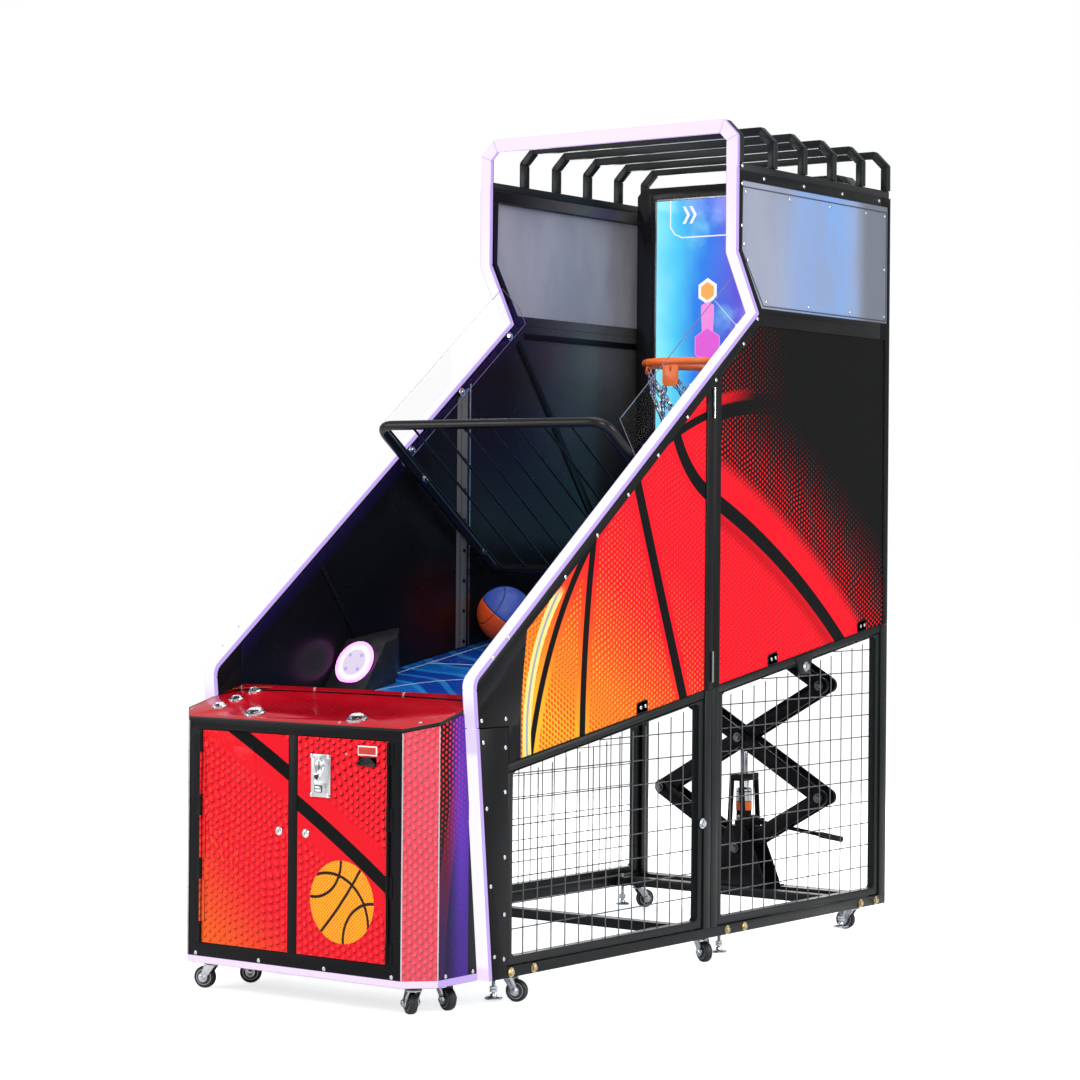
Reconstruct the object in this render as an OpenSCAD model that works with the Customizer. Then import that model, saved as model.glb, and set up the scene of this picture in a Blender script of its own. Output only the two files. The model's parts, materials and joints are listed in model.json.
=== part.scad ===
// Single-player basketball hoop machine: cabinet, side walls, mesh bay, service lift and hoop.
// Units are millimetres. +Z is up, +X is the player's right, +Y runs from the player into the machine.
// The origin is on the floor under the middle of the overall box.

/* [Overall] */
// Overall width across the two side walls
machine_width = 1000; // [900:10:1150]
// Overall depth, cabinet front to rear posts
machine_depth = 2430; // [2300:10:2600]
// Height of the light portal and roof hoops
machine_height = 2600; // [2450:10:2750]
// Underside of the cabinet and base rails above the floor
ground_gap = 84; // [84:1:90]

/* [Side walls] */
// Thickness of a side wall, and width of its light strip
wall_thick = 42; // [36:1:50]
// Thickness of the light strip, front to back
strip_depth = 14; // [10:1:20]
// Depth of the wall front behind the cabinet front, at the knee
knee_setback = 171; // [150:1:200]
// Height of the knee
knee_z = 913; // [860:1:960]
// Distance from the knee to the window corner, front to back
corner_run = 1425; // [1300:5:1500]
// Height of the window corner
corner_z = 2006; // [1950:1:2050]
// Height of the window bend above the window corner
bend_rise = 180; // [150:1:200]
// Forward step from the window corner to the window bend
bend_run = 117; // [100:1:130]
// Chamfer of the portal and hoops
portal_chamfer = 50; // [40:1:60]
// Height of the seam between the lower and upper frames, at the front columns
seam_front_z = 674; // [640:1:720]
// Angle of that seam
seam_angle = 9.34; // [8:0.01:10]
// Depth of the front columns at the seam
column_depth = 160; // [150:1:180]
// Height where the column covers part
cover_top_z = 779; // [740:1:800]
// Height of the side rail under the roof hoops
roof_rail_z = 2440; // [2420:1:2460]

/* [Front cabinet] */
// Width of the flat front face
front_width = 784; // [700:2:820]
// Corner chamfer, side to side
chamfer_x = 69; // [55:1:80]
// Corner chamfer, front to back
chamfer_y = 71; // [55:1:80]
// Height of the front edge of the deck
deck_front_z = 785; // [740:1:820]
// Slope of the deck
deck_angle = 14.6; // [12:0.1:17]
// Depth of the deck
deck_depth = 300; // [280:2:310]
// Width of one service door
door_width = 326; // [290:2:340]
// Height of the service doors
door_height = 606; // [560:2:620]
// Radius of the two large push-button caps
big_button_r = 24; // [20:0.5:28]
// Radius of the three small push-button caps
small_button_r = 15; // [12:0.5:18]
// Half distance between the large push buttons
big_button_x = 188; // [160:2:210]

/* [Ball ramp and hoop] */
// Height of the ramp surface above the seam
ramp_lift = 97; // [90:1:110]
// Radius of the basketball
ball_r = 91; // [80:1:100]
// Mean radius of the rim
rim_r = 188; // [170:1:205]
// Radius of the rim tube
rim_tube_r = 12.5; // [10:0.5:14]
// Height of the rim
rim_z = 1882; // [1840:1:1920]
// Width of the display picture
screen_w = 680; // [600:2:700]
// Height of the display picture
screen_h = 1210; // [1100:2:1220]
// Spacing of the grille rods
rod_pitch = 100; // [80:1:100]
// Radius of the grille tube
grille_tube_r = 15; // [12:0.5:18]

/* [Mesh bay] */
// Width of the mesh frame bars
mesh_bar = 27; // [22:1:32]
// Thickness of a mesh wire
mesh_wire = 4; // [3:0.5:5]
// Spacing of the upright wires
wire_pitch_y = 69; // [55:1:80]
// Spacing of the level wires
wire_pitch_z = 72; // [55:1:85]

/* [Service lift] */
// Height of the lift's lower pivot
lift_base_z = 244; // [235:1:255]
// Length of half a scissor arm, pivot to pivot
arm_half = 371; // [355:1:385]
// Angle of the arms above level, at rest
arm_angle = 30.5; // [29:0.1:32]
// Radius of the lift pins
lift_pin_r = 9; // [7:0.5:11]
// Radius of the jack ram
ram_r = 13; // [10:0.5:16]

/* [Casters and feet] */
// Radius of the caster wheels
wheel_r = 32; // [28:0.5:34]
// Distance from the kingpin to the wheel axle
caster_trail = 22; // [15:1:26]
// Radius of a levelling foot pad
pad_r = 25; // [18:1:30]

/* [Hidden] */
hw = machine_width / 2;
yf = -machine_depth / 2 + 4.5;      // coin plate stands 9 mm proud of the front
yr = machine_depth / 2 + 4.5;
xi = hw - wall_thick;            // inner face of a wall
g = ground_gap;
yk = yf + knee_setback;
yc = yk + corner_run;
col_y = yk + column_depth + 2;   // rear edge of the front columns
z_port = machine_height - portal_chamfer;
mid_y = yk + 1190;               // middle of the double posts
rail = 30;
seam_gap = 0.2;                  // between members that are cut to length

function fy(z) = yk + (knee_z - z) * 0.0983;              // slanted wall front
function sz(y) = seam_front_z + (y - col_y) * tan(seam_angle);
function rz(y) = sz(y) + ramp_lift;                       // ramp surface
slope = (corner_z - knee_z) / corner_run;
function lz(y) = knee_z + (y - yk) * slope;               // sloped wall edge
function unit(v) = v / norm(v);
function nrm(a, b) = let (d = unit(b - a)) [d[1], -d[0]];
// polyline moved to its right by d, with mitred corners
function off(p, d) = [for (i = [0 : len(p) - 1])
  let (n1 = nrm(p[max(i - 1, 0)], p[max(i, 1)]), n2 = nrm(p[min(i, len(p) - 2)], p[min(i + 1, len(p) - 1)]))
  p[i] + (n1 + n2) / (1 + n1 * n2) * d];
function rev(p) = [for (i = [len(p) - 1 : -1 : 0]) p[i]];
knee_p = [yk, knee_z];
u1 = unit([fy(0), 0] - knee_p);
u2 = unit([yc, corner_z] - knee_p);
knee_arc = [for (t = [0 : 0.25 : 1]) knee_p + u1 * 28 * pow(1 - t, 2) + u2 * 28 * pow(t, 2)];
edge_up = concat([[fy(cover_top_z + 2), cover_top_z + 2]], knee_arc,
  [[yc, corner_z], [yc - bend_run, corner_z + bend_rise], [yc - bend_run, z_port]]);
edge_low = [[fy(g), g], [fy(cover_top_z), cover_top_z]];
py = yc - bend_run;              // portal plane
win_p = [[py + 44, roof_rail_z - 40], [py + 40, corner_z + bend_rise + 11], [yc + 37, corner_z + 26],
  [yr - 24, corner_z + 26], [yr - 24, roof_rail_z - 40]];

module yz(x0, x1, p) { translate([x0, 0, 0]) rotate([90, 0, 90]) linear_extrude(x1 - x0) polygon(p); }
module xz(y0, y1, p) { translate([0, y1, 0]) rotate([90, 0, 0]) linear_extrude(y1 - y0) polygon(p); }
// band of depth d along a polyline, cut into one length for each pair in cuts
module lengths(x0, x1, p, d, cuts) {
  q = off(p, d - 0.02);
  for (c = cuts) {
    n = c[1];
    e0 = unit(p[c[0] + 1] - p[c[0]]) * seam_gap / 2;
    e1 = unit(p[n] - p[n - 1]) * seam_gap / 2;
    yz(x0, x1, [for (i = [c[0] : n]) p[i] + (i == c[0] ? e0 : i == n ? -e1 : [0, 0]),
      for (i = [n : -1 : c[0]]) q[i] + (i == c[0] ? e0 : i == n ? -e1 : [0, 0])]);
  }
}
module bx(a, b) { translate(a) cube(b - a); }
module both() { children(); mirror([1, 0, 0]) children(); }
module cyl_y(x, z, y0, y1, r) {
  translate([x, y1, z]) rotate([90, 0, 0]) cylinder(h = y1 - y0, r = r, $fn = 40);
}
module cyl_x(y, z, x0, x1, r) {
  translate([x0, y, z]) rotate([0, 90, 0]) cylinder(h = x1 - x0, r = r, $fn = 40);
}
module rod(a, b, r, n = 24) {
  v = b - a;
  translate(a) rotate([0, acos(v[2] / norm(v)), atan2(v[1], v[0])]) cylinder(h = norm(v), r = r, $fn = n);
}

// ---------- base ----------
foot_y = [col_y + 18, mid_y + 142, yr - 185];
cast_y = [col_y + 106, mid_y + 54, yr - 97];
module base_frame() color([0.09, 0.09, 0.1]) {
  difference() {
    union() {
      both() {
        bx([hw - 40, col_y, g], [hw, yr, g + rail]);
        for (y = foot_y) bx([hw - 78, y - 18, g], [hw - 40 - seam_gap, y + 18, g + rail]);
        for (y = cast_y) bx([hw - 110, y - 32, g + 8], [hw - 40 - seam_gap, y + 32, g + 14]);
      }
      for (y = [col_y, mid_y - 20, yr - 40]) bx([-hw + 40 + seam_gap, y, g],
          [hw - 40 - seam_gap, y + 40, g + rail]);
      for (s = [-1, 1]) bx([-hw + 40 + seam_gap, lift_y + s * 58 - 17, g],
          [hw - 40 - seam_gap, lift_y + s * 58 + 17, g + rail]);
    }
    both() for (y = foot_y) translate([hw - 60, y, g - 1]) cylinder(h = rail + 2, r = 6.06, $fn = 40);
  }
  both() for (y = cast_y) translate([hw - 70, y, 0]) kingpin(g + 8);
}
// fixed part of a caster: plate, race and kingpin, hanging from height z
module kingpin(z) {
  translate([0, 0, z - 3]) bx([-28, -30, 0], [28, 30, 3 - seam_gap]);
  translate([0, 0, 73.5]) cylinder(h = z - 3 - 73.5, r = 17, $fn = 40);
  translate([0, 0, 63]) cylinder(h = 11, r = 5, $fn = 40);
}
module lower_posts() color([0.09, 0.09, 0.1]) both() {
  z0 = g + rail;
  yz(hw - 38, hw - 6, [[col_y - 50, g], [col_y, g], [col_y, sz(col_y) - 1], [col_y - 50, sz(col_y) - 1]]);
  for (s = [-1, 1]) {
    a = mid_y + s * 20 - 18;
    b = a + 36;
    yz(hw - 36, hw, [[a, z0], [b, z0], [b, sz(b) - 1], [a, sz(a) - 1]]);
  }
  bx([hw - 36, mid_y - 2.2, z0], [hw - 10, mid_y + 2.2, sz(mid_y) - 4]);
  yz(hw - 40, hw, [[yr - 40, z0], [yr, z0], [yr, sz(yr) - 1], [yr - 40, sz(yr - 40) - 1]]);
  // rail under the seam, front and rear halves, with the lock bracket
  for (s = [[col_y - 0.2, mid_y - 37.8], [mid_y + 37.8, yr - 39.8]])
    yz(hw - 34, hw - 4, [[s[0], sz(s[0]) - 21], [s[1], sz(s[1]) - 21], [s[1], sz(s[1]) - 1],
        [s[0], sz(s[0]) - 1]]);
  by = mid_y + 548;
  yz(hw - 4.2, hw, [[by - 62, sz(by - 62) - 2], [by - 30, sz(by) - 66], [by + 22, sz(by) - 64],
      [by + 50, sz(by + 50) - 2]]);
}
// wire panels: two wire layers between the frame bars
module mesh_half(y0, y1) {
  z0 = g + rail;
  x0 = hw - 30;
  x1 = hw - 4.3;
  t0 = sz(y0) - 21;
  t1 = sz(y1) - 21;
  b = mesh_bar;
  k = tan(seam_angle);
  difference() {
    yz(x0, x1, [[y0, z0], [y1, z0], [y1, t1], [y0, t0]]);
    yz(x0 - 1, x1 + 1, [[y0 + b, z0 + b + 9], [y0 + b + 9, z0 + b], [y1 - b - 9, z0 + b],
        [y1 - b, z0 + b + 9],
      [y1 - b, t1 - b * k - 18], [y1 - b - 18, t1 - b * k - 8 - 3], [y0 + b + 12, t0 + b * k - 6 + 2],
          [y0 + b, t0 + b * k - 8 - 3]]);
  }
  n = floor((y1 - y0 - 2 * b) / wire_pitch_y);
  p = (y1 - y0 - 2 * b) / (n + 1);
  for (i = [1 : n]) let (y = y0 + b + i * p)
    bx([hw - 19, y - mesh_wire / 2, z0 + b - 0.3], [hw - 19 + mesh_wire, y + mesh_wire / 2,
        sz(y) - 21 - 8]);
  m = floor((t1 - z0 - 2 * b) / wire_pitch_z);
  for (j = [1 : m]) let (z = z0 + b + j * wire_pitch_z, s = (z + 12 - t0) / k)
    bx([hw - 19 - mesh_wire + 0.3, z < t0 - 14 ? y0 + b - 0.3 : y0 + s + 6, z - mesh_wire / 2],
       [hw - 19 + 0.3, y1 - b + 0.3, z + mesh_wire / 2]);
}
module mesh_panels() color([0.13, 0.13, 0.14]) both() {
  mesh_half(col_y, mid_y - 38);
  mesh_half(mid_y + 38, yr - 40);
}
module column_covers() color([0.06, 0.06, 0.08]) both() {
  c = [[fy(g) + strip_depth + 0.1, g], [fy(cover_top_z) + strip_depth + 0.1, cover_top_z],
      [col_y - 1, cover_top_z], [col_y - 1, g]];
  e = [[fy(g) + strip_depth + 0.1, g], [fy(cover_top_z) + strip_depth + 0.1, cover_top_z],
    [fy(cover_top_z) + strip_depth + 12, cover_top_z], [fy(g) + strip_depth + 12, g]];
  yz(hw - 6, hw, c);
  yz(xi, hw - 6, e);
  bx([hw - 38, col_y - 49, sz(col_y) - 1], [hw - 6, col_y - 30, cover_top_z]);
}
module lower_light_strips() color([0.95, 0.95, 1]) {
  both() yz(xi, hw, concat(edge_low, rev(off(edge_low, strip_depth))));
  // foot strip: five straight lengths round the cabinet
  translate([0, 0, g + 1]) linear_extrude(19) difference() {
    plan(2.5, fy(g) - 6);
    plan(0, fy(g) + 60);
    for (s = [-1, 1]) {
      translate([s * front_width / 2, yf - 20]) square([seam_gap, 60]);
      translate([s * cab_b - 10, yf + 2.5 + chamfer_y]) square([20, seam_gap]);
    }
  }
}
// ---------- cabinet ----------
module plan(d, y1) {
  a = front_width / 2 + d * 0.414;
  b = front_width / 2 + chamfer_x + d;
  polygon([[-a, yf + 2.5 - d], [a, yf + 2.5 - d], [b, yf + 2.5 + chamfer_y - d * 0.414], [b, y1], [-b, y1],
    [-b, yf + 2.5 + chamfer_y - d * 0.414]]);
}
cab_b = front_width / 2 + chamfer_x;
ct = tan(deck_angle);
function dz(y) = deck_front_z + (y - yf) * ct;            // deck surface
door_z = g + 58;
door_c = 15;                                              // half width of the centre stile
hinge_x = door_c + door_width + 3;
hinge_y = yf - 2;
module cabinet_shell() color([0.07, 0.07, 0.08]) {
  difference() {
    union() {
      intersection() {
        translate([0, 0, g]) linear_extrude(900) plan(0, fy(g) - 6);
        yz(-hw, hw, [[yf - 5, g], [fy(g) - 6, g], [fy(dz(yk)) - 3, dz(fy(dz(yk)) - 3) - 8.05],
          [yf - 5, dz(yf - 5) - 8.05]]);
      }
      yz(-xi + 2, xi - 2, [[yf + 150, g], [yf + deck_depth, g],
          [yf + deck_depth, dz(yf + deck_depth) - 8.05],
        [yf + 150, dz(yf + 150) - 8.05]]);
    }
    intersection() {
      translate([0, 0, g + 6]) linear_extrude(900) plan(-5, yf + deck_depth - 5);
      yz(-xi + 8, xi - 8, [[yf, g + 6], [yf + deck_depth - 6, g + 6], [yf + deck_depth - 6, 1200],
          [yf, 1200]]);
    }
    both() bx([door_c, yf - 5, door_z], [door_c + door_width + 2, yf + 9, door_z + door_height + 2]);
    shell_cuts();
  }
  // hinge pins and the cabinet's own knuckles
  both() {
    translate([hinge_x, hinge_y, door_z + 2]) cylinder(h = door_height - 4, r = 2.5, $fn = 32);
    for (i = [0 : 3]) translate([hinge_x, hinge_y, door_z + 2 + i * (door_height - 4 - 60) / 3]) {
      cylinder(h = 60, r = 4.4, $fn = 32);
      bx([0, 2.2, 0], [16, 4.8, 60]);
    }
    for (x = [cab_b - 90], y = [yf + 82, yf + 214]) translate([x, y, 0]) kingpin(g);
  }
}
// thin cuts between the panels of the cabinet
module shell_cuts() {
  e = seam_gap;
  bx([-hw, yf, g + 6], [hw, yr, g + 6 + e]);
  for (z = [door_z - e, door_z + door_height + 2]) bx([-hw, yf, z], [hw, yf + 8, z + e]);
  both() {
    bx([front_width / 2, yf, g + 6], [front_width / 2 + e, yf + 40, 1000]);
    bx([cab_b - 12, yf + 2.5 + chamfer_y, g + 6], [hw, yf + 2.5 + chamfer_y + e, 1000]);
  }
  bx([-hw, yf + deck_depth - 6 - e, g + 6], [hw, yf + deck_depth - 6, 1000]);
}
module door(right) {
  h = door_height;
  kp = (h - 4 - 60) / 3;
  difference() {
    union() {
      bx([door_c + 2, yf + 2.5, door_z + 2], [door_c + door_width, yf + 6, door_z + h]);
      difference() {
        bx([door_c + 2, yf + 2.5, door_z + 2], [door_c + door_width, yf + 20, door_z + h]);
        bx([door_c + 6, yf + 6, door_z + 6], [door_c + door_width - 4, yf + 21, door_z + h - 4]);
      }
      translate([door_c + 34, yf - 1, door_z + 338]) rotate([-90, 0, 0]) cylinder(h = 30, r = 9, $fn = 40);
    }
    if (right) {
      bx([236, yf - 1, door_z + 536], [300, yf + 7, door_z + 560]);
      bx([98, yf - 1, door_z + 506], [104, yf + 7, door_z + 540]);
    }
  }
  for (i = [0 : 2]) translate([hinge_x, hinge_y, door_z + 2 + i * kp + 60.6]) difference() {
    union() {
      cylinder(h = kp - 61.2, r = 4.4, $fn = 32);
      bx([-16, 2.2, 0], [-1.3, 4.8, kp - 61.2]);
    }
    translate([0, 0, -1]) cylinder(h = kp, r = 2.56, $fn = 32);
  }
}
module door_left() color([0.62, 0.06, 0.06]) mirror([1, 0, 0]) door(false);
module door_right() color([0.62, 0.06, 0.06]) door(true);
module coin_plate() color([0.75, 0.76, 0.78]) {
  difference() {
    bx([69, yf - 3, door_z + 441], [140, yf + 2.5, door_z + 560]);
    bx([98, yf - 4, door_z + 506], [104, yf + 4, door_z + 540]);
  }
  bx([84, yf - 9, door_z + 452], [125, yf - 2.7, door_z + 486]);
}
btn = [[-big_button_x, yf + 52, big_button_r], [big_button_x, yf + 52, big_button_r],
  [-358, yf + 90, small_button_r], [-356, yf + 158, small_button_r], [-355, yf + 234, small_button_r]];
module on_deck(i) {
  translate([btn[i][0], btn[i][1], dz(btn[i][1])]) rotate([deck_angle, 0, 0]) children();
}
module control_deck() color([0.55, 0.05, 0.05]) {
  difference() {
    union() {
      intersection() {
        translate([0, 0, g]) linear_extrude(1000) union() {
          plan(2.5, fy(dz(yk)) - 3);
          polygon([[-xi + 1, yf + 150], [xi - 1, yf + 150], [xi - 1, yf + deck_depth],
              [-xi + 1, yf + deck_depth]]);
        }
        yz(-hw, hw, [[yf - 6, dz(yf - 6) - 8], [yf + deck_depth, dz(yf + deck_depth) - 8],
          [yf + deck_depth, dz(yf + deck_depth)], [yf - 6, dz(yf - 6)]]);
      }
      for (i = [0 : 4]) on_deck(i) translate([0, 0, -0.5]) cylinder(h = 5.5, r = btn[i][2] + 6, $fn = 48);
    }
    for (i = [0 : 4]) on_deck(i) translate([0, 0, -20]) cylinder(h = 40, r = btn[i][2] + 0.06, $fn = 48);
  }
}
module button(i) color([0.85, 0.87, 0.9]) on_deck(i) {
  r = btn[i][2];
  rotate_extrude($fn = 48) polygon(concat([[0, -8], [r, -8], [r, 6]],
      [for (a = [15 : 15 : 90]) [r * cos(a), 6 + r * 0.55 * sin(a)]]));
}
module button_big_left() button(0);
module button_big_right() button(1);
module button_small_1() button(2);
module button_small_2() button(3);
module button_small_3() button(4);
// ---------- service lift ----------
lift_y = yr - 95;
lx = arm_half * cos(arm_angle);
lh = arm_half * sin(arm_angle);
P0 = [0, lift_base_z];
L1 = [-lx, lift_base_z + lh];
R1 = [lx, lift_base_z + lh];
XX = [0, lift_base_z + 2 * lh];
L2 = [-lx, lift_base_z + 3 * lh];
R2 = [lx, lift_base_z + 3 * lh];
P3 = [0, lift_base_z + 4 * lh];
// one arm: two side plates at distance o from the lift's middle plane, joined by webs
module arm(a, b, o, holes, pins, webs) {
  d = b - a;
  l = norm(d);
  w = 26;
  n = [-d[1], d[0]] / l;
  for (s = [-1, 1]) difference() {
    y = lift_y + s * (o + 3) - 3;
    hull() { cyl_y(a[0], a[1], y, y + 6, w); cyl_y(b[0], b[1], y, y + 6, w); }
    for (h = holes) cyl_y(h[0][0], h[0][1], y - 1, y + 7, lift_pin_r + h[1]);
  }
  for (t = webs) let (c = a + d * t, e = unit(d) * 55)
    xz(lift_y - o, lift_y + o, [c - e + n * 22, c + e + n * 22, c + e + n * 16, c - e + n * 16]);
  for (p = pins) {
    cyl_y(p[0], p[1], lift_y - 44, lift_y + 44, lift_pin_r);
    for (s = [-1, 1]) cyl_y(p[0], p[1], lift_y + s * 42 - 4, lift_y + s * 42 + 4, lift_pin_r + 7);
  }
}
run = 0.06;
free = 1.1;
module arm_lower_left() color([0.08, 0.08, 0.09]) arm(P0, L1, 28, [[P0, run]], [L1], [0.72]);
module arm_lower_right() color([0.08, 0.08, 0.09]) arm(P0, R1, 20, [[P0, run]], [R1], [0.72]);
module arm_cross_a() color([0.08, 0.08, 0.09]) arm(L1, R2, 20, [[L1, run]], [R2, XX], [0.27, 0.73]);
module arm_cross_b() color([0.08, 0.08, 0.09]) arm(R1, L2, 28, [[R1, run], [XX, free]], [L2], [0.27, 0.73]);
module arm_upper_left() color([0.08, 0.08, 0.09]) arm(L2, P3, 20, [[L2, free], [P3, run]], [], [0.5]);
module arm_upper_right() color([0.08, 0.08, 0.09]) arm(R2, P3, 28, [[R2, free], [P3, run]], [], [0.5]);
jack_z = lift_base_z + 76;
guide_z = lift_base_z + 252;
module jack_base() color([0.08, 0.08, 0.09]) {
  z0 = g + rail;
  for (s = [-1, 1]) {
    y = lift_y + s * 46 - 4;
    xz(y, y + 8, [[-118, z0], [118, z0], [112, z0 + 26], [40, jack_z - 8], [-40, jack_z - 8],
        [-112, z0 + 26]]);
    bx([-118, lift_y + s * 58 - 16, z0], [118, lift_y + s * 58 + 16, z0 + 5]);
    // legs of the ram guide
    for (m = [-1, 1]) xz(y, y + 8, [for (q = [[20, jack_z - 0.3], [36, jack_z - 0.3], [26, guide_z],
        [12, guide_z - 24]])
      [m * q[0], q[1]]]);
  }
  cyl_y(0, lift_base_z, lift_y - 58, lift_y + 58, lift_pin_r);
  for (s = [-1, 1]) cyl_y(0, lift_base_z, lift_y + s * 54 - 4, lift_y + s * 54 + 4, 17);
  bx([-36, lift_y - 50, jack_z - 8.3], [36, lift_y + 50, jack_z]);
  difference() {
    union() {
      bx([-27, lift_y - 50, guide_z - 24], [27, lift_y + 50, guide_z]);
      translate([0, lift_y, jack_z - 0.3]) cylinder(h = 116, r = 26, $fn = 40);
      translate([0, lift_y, jack_z - 0.3]) cylinder(h = 14, r = 31, $fn = 40);
    }
    translate([0, lift_y, jack_z + 8]) cylinder(h = 300, r = ram_r + 0.06, $fn = 40);
  }
  // pump and the fork for its handle
  bx([24, lift_y - 14, jack_z - 6], [46, lift_y + 14, jack_z + 34]);
  for (s = [-1, 1]) bx([45, lift_y + s * 11 - 3, jack_z + 2], [72, lift_y + s * 11 + 3, jack_z + 26]);
  cyl_y(62, jack_z + 14, lift_y - 16, lift_y + 16, 4);
}
module jack_ram() color([0.72, 0.73, 0.75]) {
  zt = XX[1] - lift_pin_r - 0.6;
  translate([0, lift_y, jack_z + 20]) cylinder(h = zt - jack_z - 20, r = ram_r, $fn = 40);
}
module jack_handle() color([0.1, 0.1, 0.11]) difference() {
  union() {
    cyl_y(62, jack_z + 14, lift_y - 7.5, lift_y + 7.5, 10);
    rod([62, lift_y, jack_z + 14], [390, lift_y, jack_z - 24], 7);
  }
  cyl_y(62, jack_z + 14, lift_y - 20, lift_y + 20, 4.06);
}
// ---------- casters, feet and ball ----------
cast = concat([for (s = [-1, 1], y = [yf + 82, yf + 214]) [s * (cab_b - 90), y]],
  [for (s = [-1, 1], y = cast_y) [s * (hw - 70), y]]);
swing = [200, 35, 150, -20, 20, -35, 60, 15, -25, 190];   // stored direction of each wheel
module at_caster(i) { translate([cast[i][0], cast[i][1], 0]) rotate([0, 0, swing[i]]) children(); }
module swivel(i) color([0.7, 0.71, 0.73]) at_caster(i) {
  difference() {
    union() {
      translate([0, 0, 66.5]) cylinder(h = 6.6, r = 21, $fn = 40);
      for (s = [-1, 1]) hull() {
        bx([-14, s * 17 - 1.5, 66.5], [18, s * 17 + 1.5, 69]);
        translate([caster_trail, s * 17 + 1.5, wheel_r]) rotate([90, 0, 0])
          cylinder(h = 3, r = 9, $fn = 32);
      }
      translate([caster_trail, 20, wheel_r]) rotate([90, 0, 0]) cylinder(h = 40, r = 4, $fn = 32);
    }
    translate([0, 0, 60]) cylinder(h = 20, r = 5.06, $fn = 40);
  }
}
module wheel(i) color([0.12, 0.12, 0.13])
  at_caster(i) translate([caster_trail, 0, wheel_r]) rotate([90, 0, 0])
  difference() {
    union() {
      translate([0, 0, -12]) cylinder(h = 24, r = wheel_r, $fn = 64);
      translate([0, 0, -15]) cylinder(h = 30, r = 11, $fn = 40);
    }
    translate([0, 0, -20]) cylinder(h = 40, r = 4.06, $fn = 32);
  }
module caster_swivel_1() swivel(0);
module caster_swivel_2() swivel(1);
module caster_swivel_3() swivel(2);
module caster_swivel_4() swivel(3);
module caster_swivel_5() swivel(4);
module caster_swivel_6() swivel(5);
module caster_swivel_7() swivel(6);
module caster_swivel_8() swivel(7);
module caster_swivel_9() swivel(8);
module caster_swivel_10() swivel(9);
module caster_wheel_1() wheel(0);
module caster_wheel_2() wheel(1);
module caster_wheel_3() wheel(2);
module caster_wheel_4() wheel(3);
module caster_wheel_5() wheel(4);
module caster_wheel_6() wheel(5);
module caster_wheel_7() wheel(6);
module caster_wheel_8() wheel(7);
module caster_wheel_9() wheel(8);
module caster_wheel_10() wheel(9);
module levelling_feet() color([0.7, 0.71, 0.73]) both() for (y = foot_y) translate([hw - 60, y, 0]) {
  translate([0, 0, 18]) cylinder(h = 8, r = pad_r, $fn = 48);
  translate([0, 0, 25]) cylinder(h = g + rail - 11, r = 6, $fn = 40);
  translate([0, 0, 38]) cylinder(h = 7, r = 11, $fn = 6);
}
ball_y = mid_y + 92;
module basketball() color([0.85, 0.32, 0.08])
  translate([-xi + ball_r + 1.5, ball_y, rz(ball_y) + ball_r / cos(seam_angle)])
    sphere(r = ball_r, $fn = 64);
// ---------- upper structure ----------
up_in = off(edge_up, strip_depth);
module upper_frame() color([0.07, 0.07, 0.08]) {
  n = len(up_in);
  wall = concat([for (i = [0 : n - 2]) up_in[i]], [[py + strip_depth, roof_rail_z], [yr, roof_rail_z],
      [yr, sz(yr)],
    [col_y, sz(col_y)], [col_y, cover_top_z + 2]]);
  both() {
    difference() {
      yz(xi + 3, hw, wall);
      yz(xi, hw - 6, win_p);
      yz(hw - 6, hw + 1, off_win(11));
      // pockets behind the graphic sheets
      yz(xi, hw + 1, gfx_front(24));
      yz(xi, hw + 1, gfx_rear(24));
      yz(hw - 6, hw + 1, gfx_front(0));
      yz(hw - 6, hw + 1, gfx_rear(0));
      member_cuts();
    }
    // double post between the graphic sheets
    for (s = [-1, 1]) {
      a = mid_y + s * 20 - 18;
      b = a + 36;
      yz(hw - 36, hw, [[a, sz(a) + 0.5], [b, sz(b) + 0.5], [b, lz(b) - 86], [a, lz(a) - 86]]);
    }
    // plates that tie the upper frame to the seam rail
    for (y = [mid_y - 375, mid_y + 350, yr - 166])
      yz(hw - 3, hw, [[y - 27, sz(y) + 2], [y - 24, sz(y) + 34], [y + 27, sz(y) + 42],
          [y + 27, sz(y) + 8]]);
  }
  c = xi + 3;
  bx([-c, yr - 30, roof_rail_z - 40], [c, yr, roof_rail_z]);
  bx([-c, yr - 30, sz(yr) + 2], [c, yr, sz(yr) + 42]);
  for (z = [corner_z - 500, corner_z + 250]) bx([-c, yr - 60, z], [c, yr - 22, z + 40]);
  bx([-c, yr - 22.3, sz(yr) + 2], [c, yr - 19, roof_rail_z]);
  for (y = [col_y + 10, mid_y - 20]) bx([-xi, y, rz(y) - 52], [xi, y + 40, rz(y) - 12]);
  // beam and lugs that carry the lift's top pivot
  bx([-xi, lift_y - 52, P3[1] + 30], [xi, lift_y + 52, rz(lift_y - 52) - 12]);
  for (s = [-1, 1]) bx([-24, lift_y + s * 46 - 4, P3[1] - 24], [24, lift_y + s * 46 + 4, P3[1] + 31]);
  cyl_y(0, P3[1], lift_y - 58, lift_y + 58, lift_pin_r);
  for (s = [-1, 1]) cyl_y(0, P3[1], lift_y + s * 54 - 4, lift_y + s * 54 + 4, 17);
}
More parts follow.
